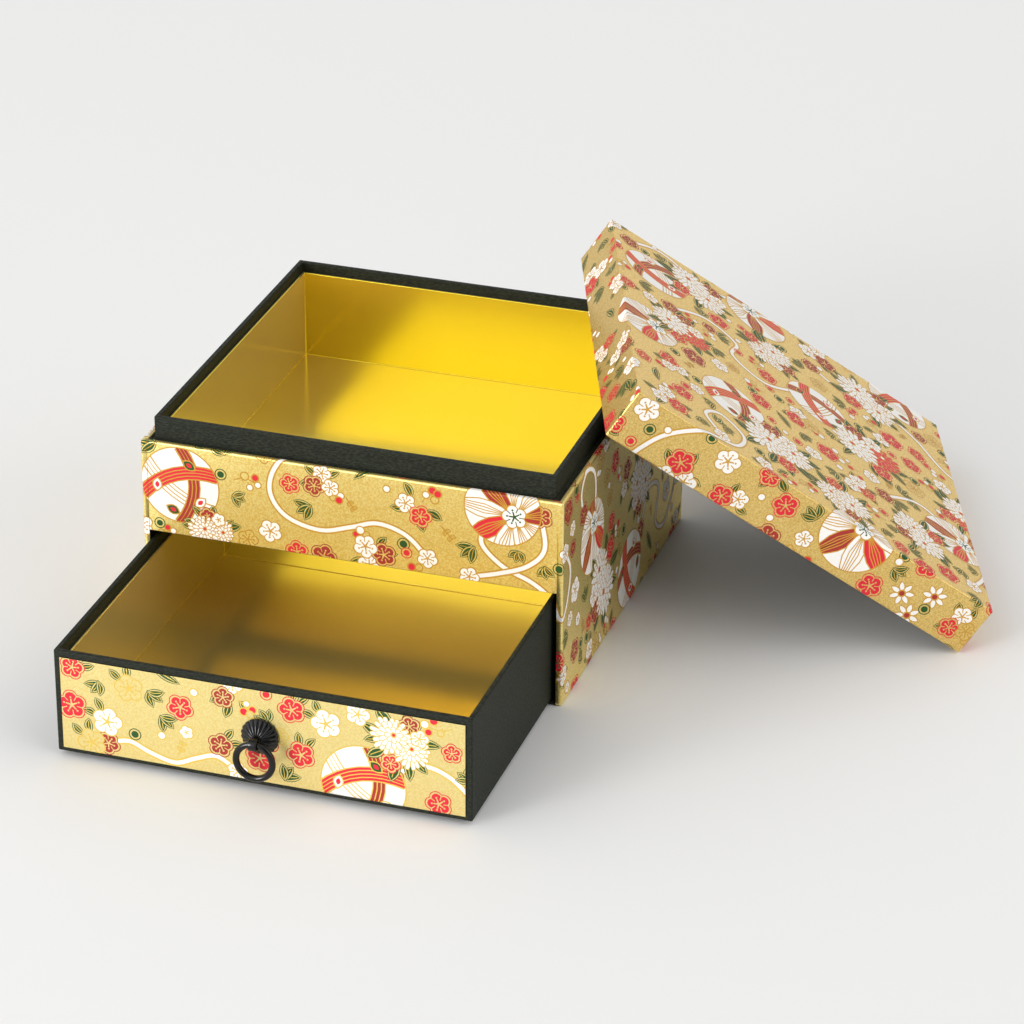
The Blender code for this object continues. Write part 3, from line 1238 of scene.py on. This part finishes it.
def smooth_edges(thing: bpy.types.Object) -> None:
    """Shades a piece's rounded edges smooth and keeps its flats flat.

    Args:
        thing: the piece.
    """
    bpy.ops.object.mode_set(mode="OBJECT")
    only(thing)
    bpy.ops.object.shade_smooth()
    weights = thing.modifiers.new("flat_faces", "WEIGHTED_NORMAL")
    weights.keep_sharp = True
    bpy.ops.object.modifier_apply(modifier=weights.name)


def settle(name: str) -> bpy.types.Object:
    """Names the primitive that was just added and takes its place into its mesh.

    Args:
        name: the piece's name.

    Returns:
        The piece.
    """
    thing = bpy.context.active_object
    thing.name = thing.data.name = name
    bpy.ops.object.transform_apply(location=True, rotation=True, scale=True)
    return thing


def soften(thing: bpy.types.Object, width: float) -> None:
    """Rounds every edge of the active piece, as folded paper and rolled metal are.

    Args:
        thing: the piece.
        width: the radius.
    """
    soft = thing.modifiers.new("soft_edges", "BEVEL")
    soft.width, soft.segments = width * MM, 3
    bpy.ops.object.modifier_apply(modifier=soft.name)


def hollow(thing: bpy.types.Object, bottom: float, top: float, wall: float, fold: float) -> None:
    """Hollows a block from its selected top, down to a floor as thick as its walls.

    Args:
        thing: the block, in edit mode.
        bottom: the height of its underside.
        top: the height of its top.
        wall: the thickness of its walls and its floor.
        fold: the radius of its edges.
    """
    bpy.ops.mesh.inset(thickness=wall * MM)
    push(Vector((0, 0, bottom + wall - top)))
    bpy.ops.object.mode_set(mode="OBJECT")
    only(thing)
    soften(thing, fold)
    smooth_edges(thing)


def line_with_foil(
    name: str, low: Vector, high: Vector, wall: float, body: str, node: str, foil: bpy.types.Material
) -> bpy.types.Object:
    """Builds an open lining of foil card, whose floor meets its walls in a fold.

    Args:
        name: the piece's name.
        low: its lowest corner.
        high: its highest corner.
        wall: the card's thickness.
        body: the CAD body that it moves with.
        node: the CAD node that it stands for.
        foil: what it wears.

    Returns:
        The lining.
    """
    lining = start_block(name, low, high, 0.0)
    pick_faces(lining, lambda c, n: n.z > 0.9)
    hollow(lining, low.z, high.z, wall, CARD_FOLD)
    return finish_piece(lining, body, (node,), [foil])


@dataclass
class Finishes:
    """Every material of the box, made once."""

    gold: GoldPaper = GoldPaper("gold_ground_paper")
    # A darker copy of the gold paper for the lid, which paints shade on it.
    shaded_lid_gold: GoldPaper = GoldPaper("gold_ground_paper_painted_shade", "#F3D688", "#DDB764")
    # A paler copy of the gold paper for the drawer's front, whose colour paints the brighter light on it.
    lit_front_gold: GoldPaper = GoldPaper("gold_ground_paper_painted_light", "#F2E3A0", "#E6CC7E", spread=0.2)
    yellow_foil: FoilCard = FoilCard("lacquered_gold_foil")
    dull_foil: FoilCard = FoilCard("pale_lacquered_gold_foil", "#FBE774", metallic=0.85, lacquer=0.7)
    colours: tuple[tuple[Ink, str], ...] = (
        (Ink.WHITE, "#F7F4EE"),
        (Ink.RED, "#DE2436"),
        (Ink.CRIMSON, "#A8322A"),
        (Ink.GREEN, "#24501C"),
    )
    gold_line: ScreenInk = ScreenInk("gold_screen_ink", "#D2A03C", 0.3, 0.42)
    # A paler copy of the gold line ink for the drawer's front, which paints brighter light on it.
    lit_front_line: ScreenInk = ScreenInk("gold_screen_ink_painted_light", "#E6C458", 0.3, 0.42)

    def __post_init__(self) -> None:
        """Makes the papers, foils and inks; the lid's darker gold paper paints shade, and the drawer
        front's paler gold paper and lines paint brighter light.
        """
        self.paper = self.gold.material()
        self.lid_paper_painted_shade = self.shaded_lid_gold.material()
        # The drawer front's paper is the paler copy, which paints brighter light on it.
        self.front = self.lit_front_gold.material()
        self.foil = self.yellow_foil.material()
        self.pale_foil = self.dull_foil.material()
        self.black = LaidPaper("black_laid_paper").material()
        self.board = GreyBoard().material()
        self.lacquer = BlackLacquer().material()
        plain = {
            ink: ScreenInk(f"{ink.name.lower()}_screen_ink", colour, 0.0, 0.5).material()
            for ink, colour in self.colours
        }
        self.inks = {**plain, Ink.GOLD: self.gold_line.material()}
        self.front_inks_painted_light = {**plain, Ink.GOLD: self.lit_front_line.material()}


@dataclass
class Case:
    """The outer case: boards wrapped in printed paper, a bay for the drawer and a well for the tray."""

    half_width: float = 102.4
    half_depth: float = 99.9
    height: float = 104.4
    rounding: float = 1.0
    rim_rounding: float = 0.8
    wall: float = 2.9
    base: float = 2.0
    bay_top: float = 58.3
    well_floor: float = 61.1
    panel_step: float = 0.2

    def model(self, finishes: Finishes) -> bpy.types.Object:
        """Builds the boards and their gold ground.

        Args:
            finishes: the box's materials.

        Returns:
            The boards as one piece.
        """
        low = Vector((-self.half_width, -self.half_depth, 0))
        high = Vector((self.half_width, self.half_depth, self.height))
        case = start_block("case_cover", low, high, self.rounding, 5)
        pick_faces(case, lambda c, n: n.z > 0.99)
        bpy.ops.mesh.inset(thickness=(self.wall - self.rounding) * MM)
        push(Vector((0, 0, self.well_floor - self.height)))
        inner = self.half_width - self.wall
        for point, normal in (
            ((-inner, 0, 0), (1, 0, 0)),
            ((inner, 0, 0), (1, 0, 0)),
            ((0, 0, self.base), (0, 0, 1)),
            ((0, 0, self.bay_top), (0, 0, 1)),
        ):
            pick_faces(case, lambda c, n: n.y < -0.1 and c.y < 0.9 * low.y)
            bpy.ops.mesh.bisect(plane_co=Vector(point) * MM, plane_no=normal)
        pick_faces(case, lambda c, n: n.y < -0.99 and abs(c.x) < inner and self.base < c.z < self.bay_top)
        push(Vector((0, self.half_depth * 2 - self.wall, 0)))
        pick_faces(
            case, lambda c, n: n.y < -0.3 and c.y < 0.9 * low.y and abs(c.x) < inner and c.z > self.bay_top
        )
        push(Vector((0, self.panel_step, 0)))
        rim = self.half_depth - self.wall
        pick_edges(
            case,
            lambda a, b: all(p.z > self.height - 0.01 for p in (a, b))
            and all(abs(p.x) < inner + 0.01 and abs(p.y) < rim + 0.01 for p in (a, b)),
        )
        bpy.ops.mesh.bevel(offset=self.rim_rounding * MM, segments=4, affect="EDGES")
        smooth_edges(case)
        black, board, foil = 1, 2, 3
        for face in case.data.polygons:
            c, n = face.center / MM, face.normal
            inside = abs(c.x) < inner + 0.05 and abs(c.y) < rim + 0.05
            if n.z < -0.9 and c.z < 0.5:
                face.material_index = black
            elif self.base - 0.1 < c.z < self.bay_top + 0.1 and inside:
                face.material_index = foil if n.z < -0.9 else black
            elif c.z < self.base and abs(c.x) < inner:
                face.material_index = black
            elif inside and c.z < self.height - 1.5:
                face.material_index = board
        return finish_piece(
            case,
            "case",
            ("case_shell",),
            [finishes.paper, finishes.black, finishes.board, finishes.pale_foil],
        )

    def drawing(self) -> Drawing:
        """Draws the paper that runs round the case: front, right side, back, left side.

        Returns:
            The drawing, in millimetres from the front's lower left corner.
        """
        art = Drawing(11)
        for ribbon in (
            ((74, 112), (65, 98), (64, 86), (72, 76), (88, 72), (103, 76), (116, 80), (130, 76), (140, 66)),
            (
                *((168, 88), (166, 78), (176, 68), (190, 62), (199, 55)),
                *((204, 45), (212, 52), (216, 66), (208, 78)),
            ),
            ((194, 96), (196, 80), (188, 70), (174, 64), (160, 60)),
            ((236, 84), (232, 96), (240, 104), (252, 98), (254, 84), (246, 70)),
            ((330, 30), (342, 46), (360, 40), (356, 22), (372, 14), (392, 30)),
            ((440, 20), (452, 60), (480, 66), (488, 40), (510, 30), (540, 54)),
            ((640, 80), (660, 96), (684, 84), (680, 60), (700, 48), (730, 60)),
        ):
            art.ribbon(ribbon)
        for x, y, turn in ((19, 84, 0.35), (312, 18, 2.0), (372, 84, 0.9), (440, 76, 0.2), (600, 88, 1.4)):
            art.temari((x, y), 19, turn)
        for x, y, turn in ((176, 97, -0.5), (250, 66, 1.2), (530, 30, 2.4), (664, 34, 0.3), (752, 76, 2.6)):
            art.wound_ball((x, y), 18, turn)
        for x, y, size, ink in (
            (34, 62, 12, Ink.WHITE),
            (268, 34, 22, Ink.WHITE),
            (330, 58, 19, Ink.WHITE),
            (416, 34, 20, Ink.RED),
            (562, 70, 20, Ink.WHITE),
            (700, 88, 19, Ink.WHITE),
            (724, 22, 19, Ink.RED),
        ):
            art.bouquet((x, y), size, ink)
        art.fill((-4, -4), (814, 112), 0.9)
        return art

    def panels(self) -> list[Panel]:
        """Lays the sheet's four sides, the walls' front edges and the turned-in rim on the boards.

        Returns:
            The panels.
        """
        w, d, h = self.half_width, self.half_depth, self.height
        strip, width, depth, step = self.wall, 2 * w, 2 * d, self.panel_step
        across, back = Vector((1, 0, 0)), Vector((0, 1, 0))
        up = Vector((0, 0, 1))
        front = Vector((-w, -d, 0))
        made = [
            Panel(rectangle((0, 0), (strip, h)), (0, 0), front, across, up),
            Panel(rectangle((strip, self.bay_top), (width - strip, h)), (0, 0), front, across, up, step),
            Panel(rectangle((width - strip, 0), (width, h)), (0, 0), front, across, up),
        ]
        turn_in = self.wall - self.rim_rounding
        walls = (
            (0.0, width, front, across, back),
            (width, depth, Vector((w, -d, 0)), back, -across),
            (width + depth, width, Vector((w, d, 0)), -across, -back),
            (2 * width + depth, depth, Vector((-w, d, 0)), -back, across),
        )
        for start, long, corner, along, inward in walls:
            if start:
                made.append(Panel(rectangle((start, 0), (start + long, h)), (start, 0), corner, along, up))
            end, top = start + long, h + turn_in
            flap = ((start, h), (end, h), (end - turn_in, top), (start + turn_in, top))
            made.append(Panel(flap, (start, h), corner + up * h, along, inward))
        return made

    def build(self, finishes: Finishes) -> None:
        """Builds the case and its print.

        Args:
            finishes: the box's materials.
        """
        self.model(finishes)
        width, depth = 2 * self.half_width, 2 * self.half_depth
        sheet = PrintedSheet(
            "case_print",
            self.drawing(),
            self.panels(),
            Vector((-self.half_width, -self.half_depth, 0)),
            Vector((self.half_width, self.half_depth, self.height)),
            self.rounding,
            ([0, width, width + depth, 2 * width + depth, 2 * (width + depth)], [0, self.height]),
        )
        finish_piece(sheet.build(finishes.inks, Matrix()), "case", (), [])


@dataclass
class Lid:
    """The lid, a shallow tray of boards in printed paper, leaning on the tray's back right corner."""

    length: float = 205.0
    half_width: float = 100.0
    height: float = 26.8
    wall: float = 2.8
    inset: float = 0.1
    rounding: float = 0.9
    corner: Vector = field(default_factory=lambda: Vector((71.685, 41.985, 116.795)))
    yaw: float = math.radians(20.5)
    tilt: float = math.radians(34.73)

    def place(self) -> Matrix:
        """Returns the lid's leaning place, in metres."""
        turned = Matrix.Rotation(self.yaw, 4, "Z") @ Matrix.Rotation(self.tilt, 4, "Y")
        return Matrix.Translation(self.corner * MM) @ turned

    def box(self) -> tuple[Vector, Vector]:
        """Returns the lowest and highest corners of the lid as it lies flat."""
        i = self.inset
        high = Vector((self.length - i, self.half_width - i, self.height - i))
        return Vector((i, i - self.half_width, i)), high

    def model(self, finishes: Finishes) -> bpy.types.Object:
        """Builds the boards and their gold ground.

        Args:
            finishes: the box's materials.

        Returns:
            The boards as one piece.
        """
        low, high = self.box()
        lid = start_block("lid_cover", low, high, self.rounding, 5)
        pick_faces(lid, lambda c, n: n.z < -0.99)
        bpy.ops.mesh.inset(thickness=(self.wall - self.inset - self.rounding) * MM)
        push(Vector((0, 0, self.height - self.wall - low.z)))
        smooth_edges(lid)
        ceiling = self.height - self.wall - 0.01
        for face in lid.data.polygons:
            c, n = face.center / MM, face.normal
            within = self.wall - 0.05
            inner = within < c.x < self.length - within and abs(c.y) < self.half_width - within
            if inner and c.z < ceiling + 0.1:
                face.material_index = 1
        lid.data.transform(self.place())
        # The lid wears the darker copy of the gold paper, which paints shade on it.
        return finish_piece(lid, "case", ("lid",), [finishes.lid_paper_painted_shade, finishes.black])

    def drawing(self) -> Drawing:
        """Draws the paper of the lid's top and its four rims.

        Returns:
            The drawing, in the lid's own millimetres.
        """
        art = Drawing(29)
        for ribbon in (
            ((14, -132), (22, -112), (38, -98), (56, -92), (62, -76), (50, -66), (40, -76), (48, -90)),
            ((30, 30), (52, 44), (70, 36), (66, 18), (84, 8), (104, 22)),
            ((120, 70), (140, 62), (160, 72), (184, 60), (200, 40), (228, 30)),
            ((150, -40), (172, -24), (190, -34), (206, -60), (196, -84)),
            ((10, 84), (30, 96), (56, 86), (80, 98), (96, 124)),
        ):
            art.ribbon(ribbon)
        for x, y, turn in ((60, -40, 0.5), (118, 22, 1.9), (24, 62, 2.8), (178, 92, 0.8)):
            art.temari((x, y), 18, turn)
        for x, y, turn in ((128, -104, 1.4), (192, -42, 0.2), (88, 88, 2.0), (12, -8, 0.2)):
            art.wound_ball((x, y), 18, turn)
        for x, y, size, ink in (
            (84, -62, 21, Ink.WHITE),
            (146, 2, 22, Ink.RED),
            (120, -76, 17, Ink.WHITE),
            (50, 76, 20, Ink.WHITE),
            (34, 10, 18, Ink.RED),
            (154, 70, 21, Ink.WHITE),
            (204, -6, 18, Ink.RED),
            (92, 52, 17, Ink.WHITE),
            (168, -62, 18, Ink.WHITE),
        ):
            art.bouquet((x, y), size, ink)
        for spot in ((163, -116), (177, -109), (172, -124)):
            art.taken.append((*spot, 6))
            art.starflower(spot, 6)
        art.fill((-30, -130), (235, 130), 1.6, 2.0)
        return art

    def panels(self) -> list[Panel]:
        """Lays the sheet's top and its four turned-down rims on the boards.

        Returns:
            The panels.
        """
        low, high = self.box()
        x, y, z = Vector((1, 0, 0)), Vector((0, 1, 0)), Vector((0, 0, 1))
        deep = high.z - low.z
        return [
            Panel(rectangle(start, end), foot, Vector((*foot, high.z)), along, up)
            for start, end, foot, along, up in (
                ((low.x, low.y), (high.x, high.y), (low.x, low.y), x, y),
                ((low.x, low.y - deep), (high.x, low.y), (low.x, low.y), x, z),
                ((low.x, high.y), (high.x, high.y + deep), (low.x, high.y), x, -z),
                ((low.x - deep, low.y), (low.x, high.y), (low.x, low.y), z, y),
                ((high.x, low.y), (high.x + deep, high.y), (high.x, low.y), -z, y),
            )
        ]

    def build(self, finishes: Finishes) -> None:
        """Builds the lid and its print.

        Args:
            finishes: the box's materials.
        """
        self.model(finishes)
        low, high = self.box()
        deep = high.z - low.z
        folds = ([low.x - deep, low.x, high.x, high.x + deep], [low.y - deep, low.y, high.y, high.y + deep])
        sheet = PrintedSheet("lid_print", self.drawing(), self.panels(), low, high, self.rounding, folds)
        finish_piece(sheet.build(finishes.inks, self.place()), "case", (), [])


@dataclass
class Tray:
    """The inner tray in black paper, whose collar stands above the case, and its foil lining."""

    half_width: float = 97.3
    half_depth: float = 94.8
    spacer: float = 1.9
    bottom: float = 61.4
    spacer_top: float = 103.3
    top: float = 114.9
    wall: float = 2.4
    fold: float = 0.55
    lining_wall: float = 1.2
    lining_top: float = 109.9
    gap: float = 0.3

    def build(self, finishes: Finishes) -> None:
        """Builds the tray and its lining.

        Args:
            finishes: the box's materials.
        """
        outer = Vector((self.half_width + self.spacer, self.half_depth + self.spacer, 0))
        low = Vector((-outer.x, -outer.y, self.bottom))
        high = Vector((outer.x, outer.y, self.spacer_top))
        tray = start_block("tray_collar", low, high, 0.0)
        pick_faces(tray, lambda c, n: n.z > 0.9)
        bpy.ops.mesh.inset(thickness=self.spacer * MM)
        push(Vector((0, 0, self.top - self.spacer_top)))
        hollow(tray, self.bottom, self.top, self.wall, self.fold)
        finish_piece(tray, "case", ("inner_tray",), [finishes.black])
        inset = self.wall + self.gap
        across, deep = self.half_width - inset, self.half_depth - inset
        low = Vector((-across, -deep, self.bottom + inset))
        high = Vector((across, deep, self.lining_top))
        line_with_foil("tray_foil", low, high, self.lining_wall, "case", "tray_lining", finishes.foil)


@dataclass
class Drawer:
    """The drawer in black paper, its foil lining and the printed sheet on its front."""

    left: float = -99.1
    right: float = 97.1
    front: float = -212.4
    back: float = -17.0
    bottom: float = 2.3
    top: float = 53.8
    wall: float = 2.4
    fold: float = 0.7
    gap: float = 0.3
    lining_wall: float = 1.2
    lining_top: float = 48.3
    sheet_low: Vector = field(default_factory=lambda: Vector((-96.1, -213.03, 4.7)))
    sheet_high: Vector = field(default_factory=lambda: Vector((94.1, -212.7, 50.6)))
    sheet_rounding: float = 0.12
    print_lift: float = 0.05

    def drawing(self) -> Drawing:
        """Draws the sheet on the drawer's front.

        Returns:
            The drawing, in millimetres from the sheet's lower left corner.
        """
        art = Drawing(47)
        art.ribbon([(22, 6), (32, 9), (42, 5), (54, 2), (64, 6), (74, 9), (84, 3)])
        art.ribbon([(156, 14), (170, 22), (184, 18), (196, 6)])
        art.temari((143, 7), 19.5, 0.25)
        art.bouquet((160, 31), 15.5)
        for spot, size, ink in (
            ((126, 35), 7.0, Ink.WHITE),
            ((110, 39), 5.6, Ink.RED),
            ((114, 17), 5.8, Ink.RED),
            ((22, 17), 7.0, Ink.WHITE),
            ((14, 5), 6.6, Ink.BARE),
            ((76, 15), 5.0, Ink.CRIMSON),
            ((33, 36), 6.6, Ink.BARE),
            ((6, 42), 5.0, Ink.RED),
        ):
            art.taken.append((*spot, size + 0.5))
            for side in (-0.4, 0.35):
                angle = 2.4 + 0.9 * size + side
                art.leaf(polar(spot, size * 0.85, angle), angle, 6.0, Ink.GREEN, 0.36)
            art.blossom(spot, size, ink)
        art.fill((0, 0), (190, 46), 0.6, 1.6)
        return art

    def build(self, finishes: Finishes) -> None:
        """Builds the drawer, its lining, its front sheet and the print.

        Args:
            finishes: the box's materials.
        """
        low = Vector((self.left, self.front, self.bottom))
        high = Vector((self.right, self.back, self.top))
        drawer = start_block("drawer_box", low, high, 0.0)
        pick_faces(drawer, lambda c, n: n.z > 0.9)
        hollow(drawer, self.bottom, self.top, self.wall, self.fold)
        finish_piece(drawer, "drawer", ("drawer",), [finishes.black])
        inset = Vector((1, 1, 1)) * (self.wall + self.gap)
        top = Vector((high.x - inset.x, high.y - inset.y, self.lining_top))
        line_with_foil(
            "drawer_foil", low + inset, top, self.lining_wall, "drawer", "drawer_lining", finishes.pale_foil
        )

        low, high, rounding = self.sheet_low, self.sheet_high, self.sheet_rounding
        sheet = start_block("front_sheet", low, high, rounding, 2)
        smooth_edges(sheet)
        # The front sheet wears the paler gold paper, which paints brighter light on it.
        finish_piece(sheet, "drawer", ("drawer_front_paper",), [finishes.front])
        size = high - low
        face = Panel(
            rectangle((0, 0), (size.x, size.z)), (0, 0), low.copy(), Vector((1, 0, 0)), Vector((0, 0, 1))
        )
        folds = ([], [])
        ink = PrintedSheet(
            "front_print", self.drawing(), [face], low, high, rounding, folds, self.print_lift
        )
        finish_piece(ink.build(finishes.front_inks_painted_light, Matrix()), "drawer", (), [])


@dataclass
class RingPull:
    """The pull: a fluted rosette, a strap eye and the ring that hangs in it."""

    centre_x: float = -1.0
    centre_z: float = 28.05
    rosette_back: float = -213.4
    rosette_radius: float = 8.9
    rosette_height: float = 4.6
    rosette_lip: float = 0.6
    edge: float = 0.25
    dome_fullness: float = 0.8
    flutes: int = 20
    flute_depth: float = 0.75
    flute_breadth: float = 0.7
    flute_end: float = 0.96
    scallop: float = 0.045
    back_share: float = 0.985
    pivot_y: float = -221.3
    eye_radius: float = 3.0
    eye_wall: float = 1.0
    eye_width: float = 4.0
    eye_rounding: float = 0.3
    shank_radius: float = 1.15
    shank_end: float = -210.0
    ring_radius: float = 8.55
    wire_radius: float = 1.55

    def rosette(self, finishes: Finishes) -> None:
        """Builds the rosette: a dome whose flutes deepen to a scalloped rim.

        Args:
            finishes: the box's materials.
        """
        around, rings = self.flutes * 12, 20
        lip, rise = self.rosette_lip, self.rosette_height - self.rosette_lip
        places, faces = [], []
        for ring in range(rings + 1):
            share = ring / rings
            dome = math.cos(share * math.pi / 2) ** self.dome_fullness if share < 1 else 0.0
            for i in range(around):
                angle = math.tau * i / around
                valley = (1 - abs(math.sin(self.flutes * angle / 2)) ** self.flute_breadth) * share
                radius = self.rosette_radius * share * (1 - self.scallop * valley)
                dip = self.flute_depth * valley * math.sin(math.pi * min(share, self.flute_end))
                height = max(lip + rise * dome - dip, self.edge)
                places.append((radius * math.cos(angle), -height, radius * math.sin(angle)))
        places.extend((x * self.back_share, 0.0, z * self.back_share) for x, _, z in places[-around:])
        for ring in range(rings + 1):
            for i in range(around):
                a, b = ring * around + i, ring * around + (i + 1) % around
                faces.append((a, b, b + around, a + around))
        faces.append(tuple(range((rings + 1) * around, (rings + 2) * around)))
        rosette = start_mesh("pull_rosette_fluted", [Vector(p) * MM for p in places], faces)
        middle = Vector((self.centre_x, self.rosette_back, self.centre_z))
        rosette.data.transform(Matrix.Translation(middle * MM))
        bpy.ops.object.mode_set(mode="EDIT")
        bpy.ops.mesh.select_all(action="SELECT")
        bpy.ops.mesh.remove_doubles(threshold=WELD)
        bpy.ops.mesh.normals_make_consistent(inside=False)
        bpy.ops.object.mode_set(mode="OBJECT")
        bpy.ops.object.shade_smooth_by_angle(angle=math.radians(50))
        finish_piece(rosette, "drawer", ("pull_rosette",), [finishes.lacquer])

    def pin(self, finishes: Finishes) -> None:
        """Builds the strap eye and its shank.

        Args:
            finishes: the box's materials.
        """
        middle = Vector((self.centre_x, self.pivot_y, self.centre_z)) * MM
        bpy.ops.object.select_all(action="DESELECT")
        bpy.ops.mesh.primitive_cylinder_add(
            vertices=48,
            radius=self.eye_radius * MM,
            depth=self.eye_width * MM,
            end_fill_type="NOTHING",
            location=middle,
            rotation=(0, math.pi / 2, 0),
        )
        eye = settle("pull_eye")
        strap = eye.modifiers.new("strap", "SOLIDIFY")
        strap.thickness, strap.offset = self.eye_wall * MM, -1
        bpy.ops.object.modifier_apply(modifier=strap.name)
        soften(eye, self.eye_rounding)
        start, end = self.pivot_y + self.eye_radius - self.eye_wall / 2, self.shank_end
        bpy.ops.mesh.primitive_cylinder_add(
            vertices=24,
            radius=self.shank_radius * MM,
            depth=(end - start) * MM,
            location=Vector((self.centre_x, (start + end) / 2, self.centre_z)) * MM,
            rotation=(math.pi / 2, 0, 0),
        )
        shank = settle("pull_shank")
        only(eye)
        shank.select_set(True)
        bpy.ops.object.join()
        only(eye)
        bpy.ops.object.shade_smooth_by_angle(angle=math.radians(40))
        finish_piece(eye, "drawer", ("pull_pin",), [finishes.lacquer])

    def ring(self, finishes: Finishes) -> None:
        """Builds the ring, hanging from the eye.

        Args:
            finishes: the box's materials.
        """
        bpy.ops.object.select_all(action="DESELECT")
        bpy.ops.mesh.primitive_torus_add(
            major_radius=self.ring_radius * MM,
            minor_radius=self.wire_radius * MM,
            major_segments=96,
            minor_segments=28,
            location=Vector((self.centre_x, self.pivot_y, self.centre_z - self.ring_radius)) * MM,
            rotation=(math.pi / 2, 0, 0),
        )
        ring = settle("pull_ring_wire")
        bpy.ops.object.shade_smooth()
        finish_piece(ring, "ring", ("pull_ring",), [finishes.lacquer])

    def build(self, finishes: Finishes) -> None:
        """Builds the whole pull.

        Args:
            finishes: the box's materials.
        """
        self.rosette(finishes)
        self.pin(finishes)
        self.ring(finishes)


@dataclass(frozen=True)
class Glow:
    """A soft patch of the studio's surround: which way it lies, the degrees from its middle to its faint
    edge and to its full core, and how bright it is."""

    name: str
    way: tuple[float, float, float]
    edge: float
    core: float
    strength: float


@dataclass
class Studio:
    """A pale floor, a surround like large soft lights, one lamp and the camera. The eye is in millimetres,
    the lamp and the floor are in metres."""

    floor_width: float = 12.0
    floor_drop: float = 0.0002
    floor_colour: str = "#F4F4F3"
    floor_roughness: float = 0.7
    floor_specular: float = 0.2
    key_place: Vector = field(default_factory=lambda: Vector((-1.45, -2.25, 0.5)))
    key_target: Vector = field(default_factory=lambda: Vector((0.0, -0.03, 0.05)))
    key_width: float = 0.9
    key_power: float = 37.0
    azimuth: float = math.radians(17.995)
    elevation: float = math.radians(27.176)
    roll: float = 0.00466
    eye: Vector = field(default_factory=lambda: Vector((588.85, -1672.41, 945.37)))
    lens: float = 145.18
    sensor: float = 36.0
    base: float = 0.05
    glows: tuple[Glow, ...] = (
        Glow("low_front_left_softbox", (-0.62, -0.62, 0.1), 50, 20, 0.8),
        Glow("left_softbox", (-1.0, 0.0, 0.3), 50, 20, 0.7),
        Glow("back_sweep", (-0.1, 0.95, 0.3), 50, 20, 0.9),
        Glow("front_left_softbox", (-0.33, -0.83, 0.45), 44, 14, 0.85),
        Glow("far_right_softbox", (1.0, -0.1, 0.3), 40, 20, 0.9),
        Glow("high_right_softbox", (0.8, 0.1, 0.7), 45, 20, 0.9),
        Glow("ceiling_bounce", (-0.2, -0.1, 0.97), 50, 20, 0.5),
    )

    def floor(self) -> None:
        """Lays the floor."""
        bpy.ops.object.select_all(action="DESELECT")
        bpy.ops.mesh.primitive_plane_add(size=self.floor_width, location=(0, 0, -self.floor_drop))
        floor = bpy.context.active_object
        floor.name = "studio_floor"
        values = {
            "Base Color": linear(self.floor_colour),
            "Roughness": self.floor_roughness,
            "Specular IOR Level": self.floor_specular,
        }
        floor.data.materials.append(new_finish("studio_floor_paper", values)[0])

    def key(self) -> None:
        """Hangs the one lamp, which draws the small highlights and the soft shadows."""
        lamp = bpy.data.lights.new("key_softbox", "AREA")
        lamp.shape = "RECTANGLE"
        lamp.size, lamp.size_y = self.key_width, self.key_width
        lamp.energy = self.key_power
        thing = bpy.data.objects.new("key_softbox", lamp)
        thing.location = self.key_place
        thing.rotation_euler = (self.key_target - self.key_place).to_track_quat("-Z", "Y").to_euler()
        bpy.context.scene.collection.objects.link(thing)

    def surround(self) -> None:
        """Paints the surround: an even level with soft brighter patches."""
        world = bpy.data.worlds.new("studio_surround")
        bpy.context.scene.world = world
        world.use_nodes = True
        tree = world.node_tree
        way = add_node(tree, "ShaderNodeTexCoord", {}, {}).outputs["Generated"]
        level = add_node(tree, "ShaderNodeValue", {}, {})
        level.outputs[0].default_value = self.base
        total = level.outputs[0]
        for glow in self.glows:
            towards = add_node(
                tree,
                "ShaderNodeVectorMath",
                {1: Vector(glow.way).normalized()},
                {0: way},
                operation="DOT_PRODUCT",
            )
            patch = add_node(
                tree,
                "ShaderNodeMapRange",
                {
                    "From Min": math.cos(math.radians(glow.edge)),
                    "From Max": math.cos(math.radians(glow.core)),
                    "To Max": glow.strength,
                },
                {"Value": towards.outputs["Value"]},
                interpolation_type="SMOOTHSTEP",
            )
            total = add_node(
                tree, "ShaderNodeMath", {}, {0: total, 1: patch.outputs["Result"]}, operation="ADD"
            ).outputs["Value"]
        tree.links.new(total, tree.nodes["Background"].inputs["Strength"])
        tree.nodes["Background"].inputs["Color"].default_value = (1.0, 1.0, 1.0, 1.0)
        bpy.context.scene.view_settings.view_transform = "Standard"

    def camera(self) -> None:
        """Sets the camera at the photograph's angle."""
        data = bpy.data.cameras.new("camera")
        data.lens = self.lens
        data.sensor_width = self.sensor
        camera = bpy.data.objects.new("camera", data)
        bpy.context.scene.collection.objects.link(camera)
        ca, sa = math.cos(self.azimuth), math.sin(self.azimuth)
        ce, se = math.cos(self.elevation), math.sin(self.elevation)
        back = Vector((sa * ce, -ca * ce, se))
        right = Vector((ca, sa, 0))
        up = back.cross(right)
        cr, sr = math.cos(self.roll), math.sin(self.roll)
        columns = (right * cr + up * sr, up * cr - right * sr, back)
        turned = Matrix(columns).transposed().to_4x4()
        camera.matrix_world = Matrix.Translation(self.eye * MM) @ turned
        bpy.context.scene.camera = camera

    def build(self) -> None:
        """Sets up the studio."""
        self.floor()
        self.key()
        self.surround()
        self.camera()


def main() -> None:
    """Builds the looks."""
    logging.basicConfig(level=logging.INFO, format="%(name)s: %(message)s", stream=sys.stdout)
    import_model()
    finishes = Finishes()
    for part in (Case(), Lid(), Tray(), Drawer(), RingPull()):
        part.build(finishes)
    Studio().build()
    bpy.context.view_layer.update()


if __name__ == "__main__":
    main()
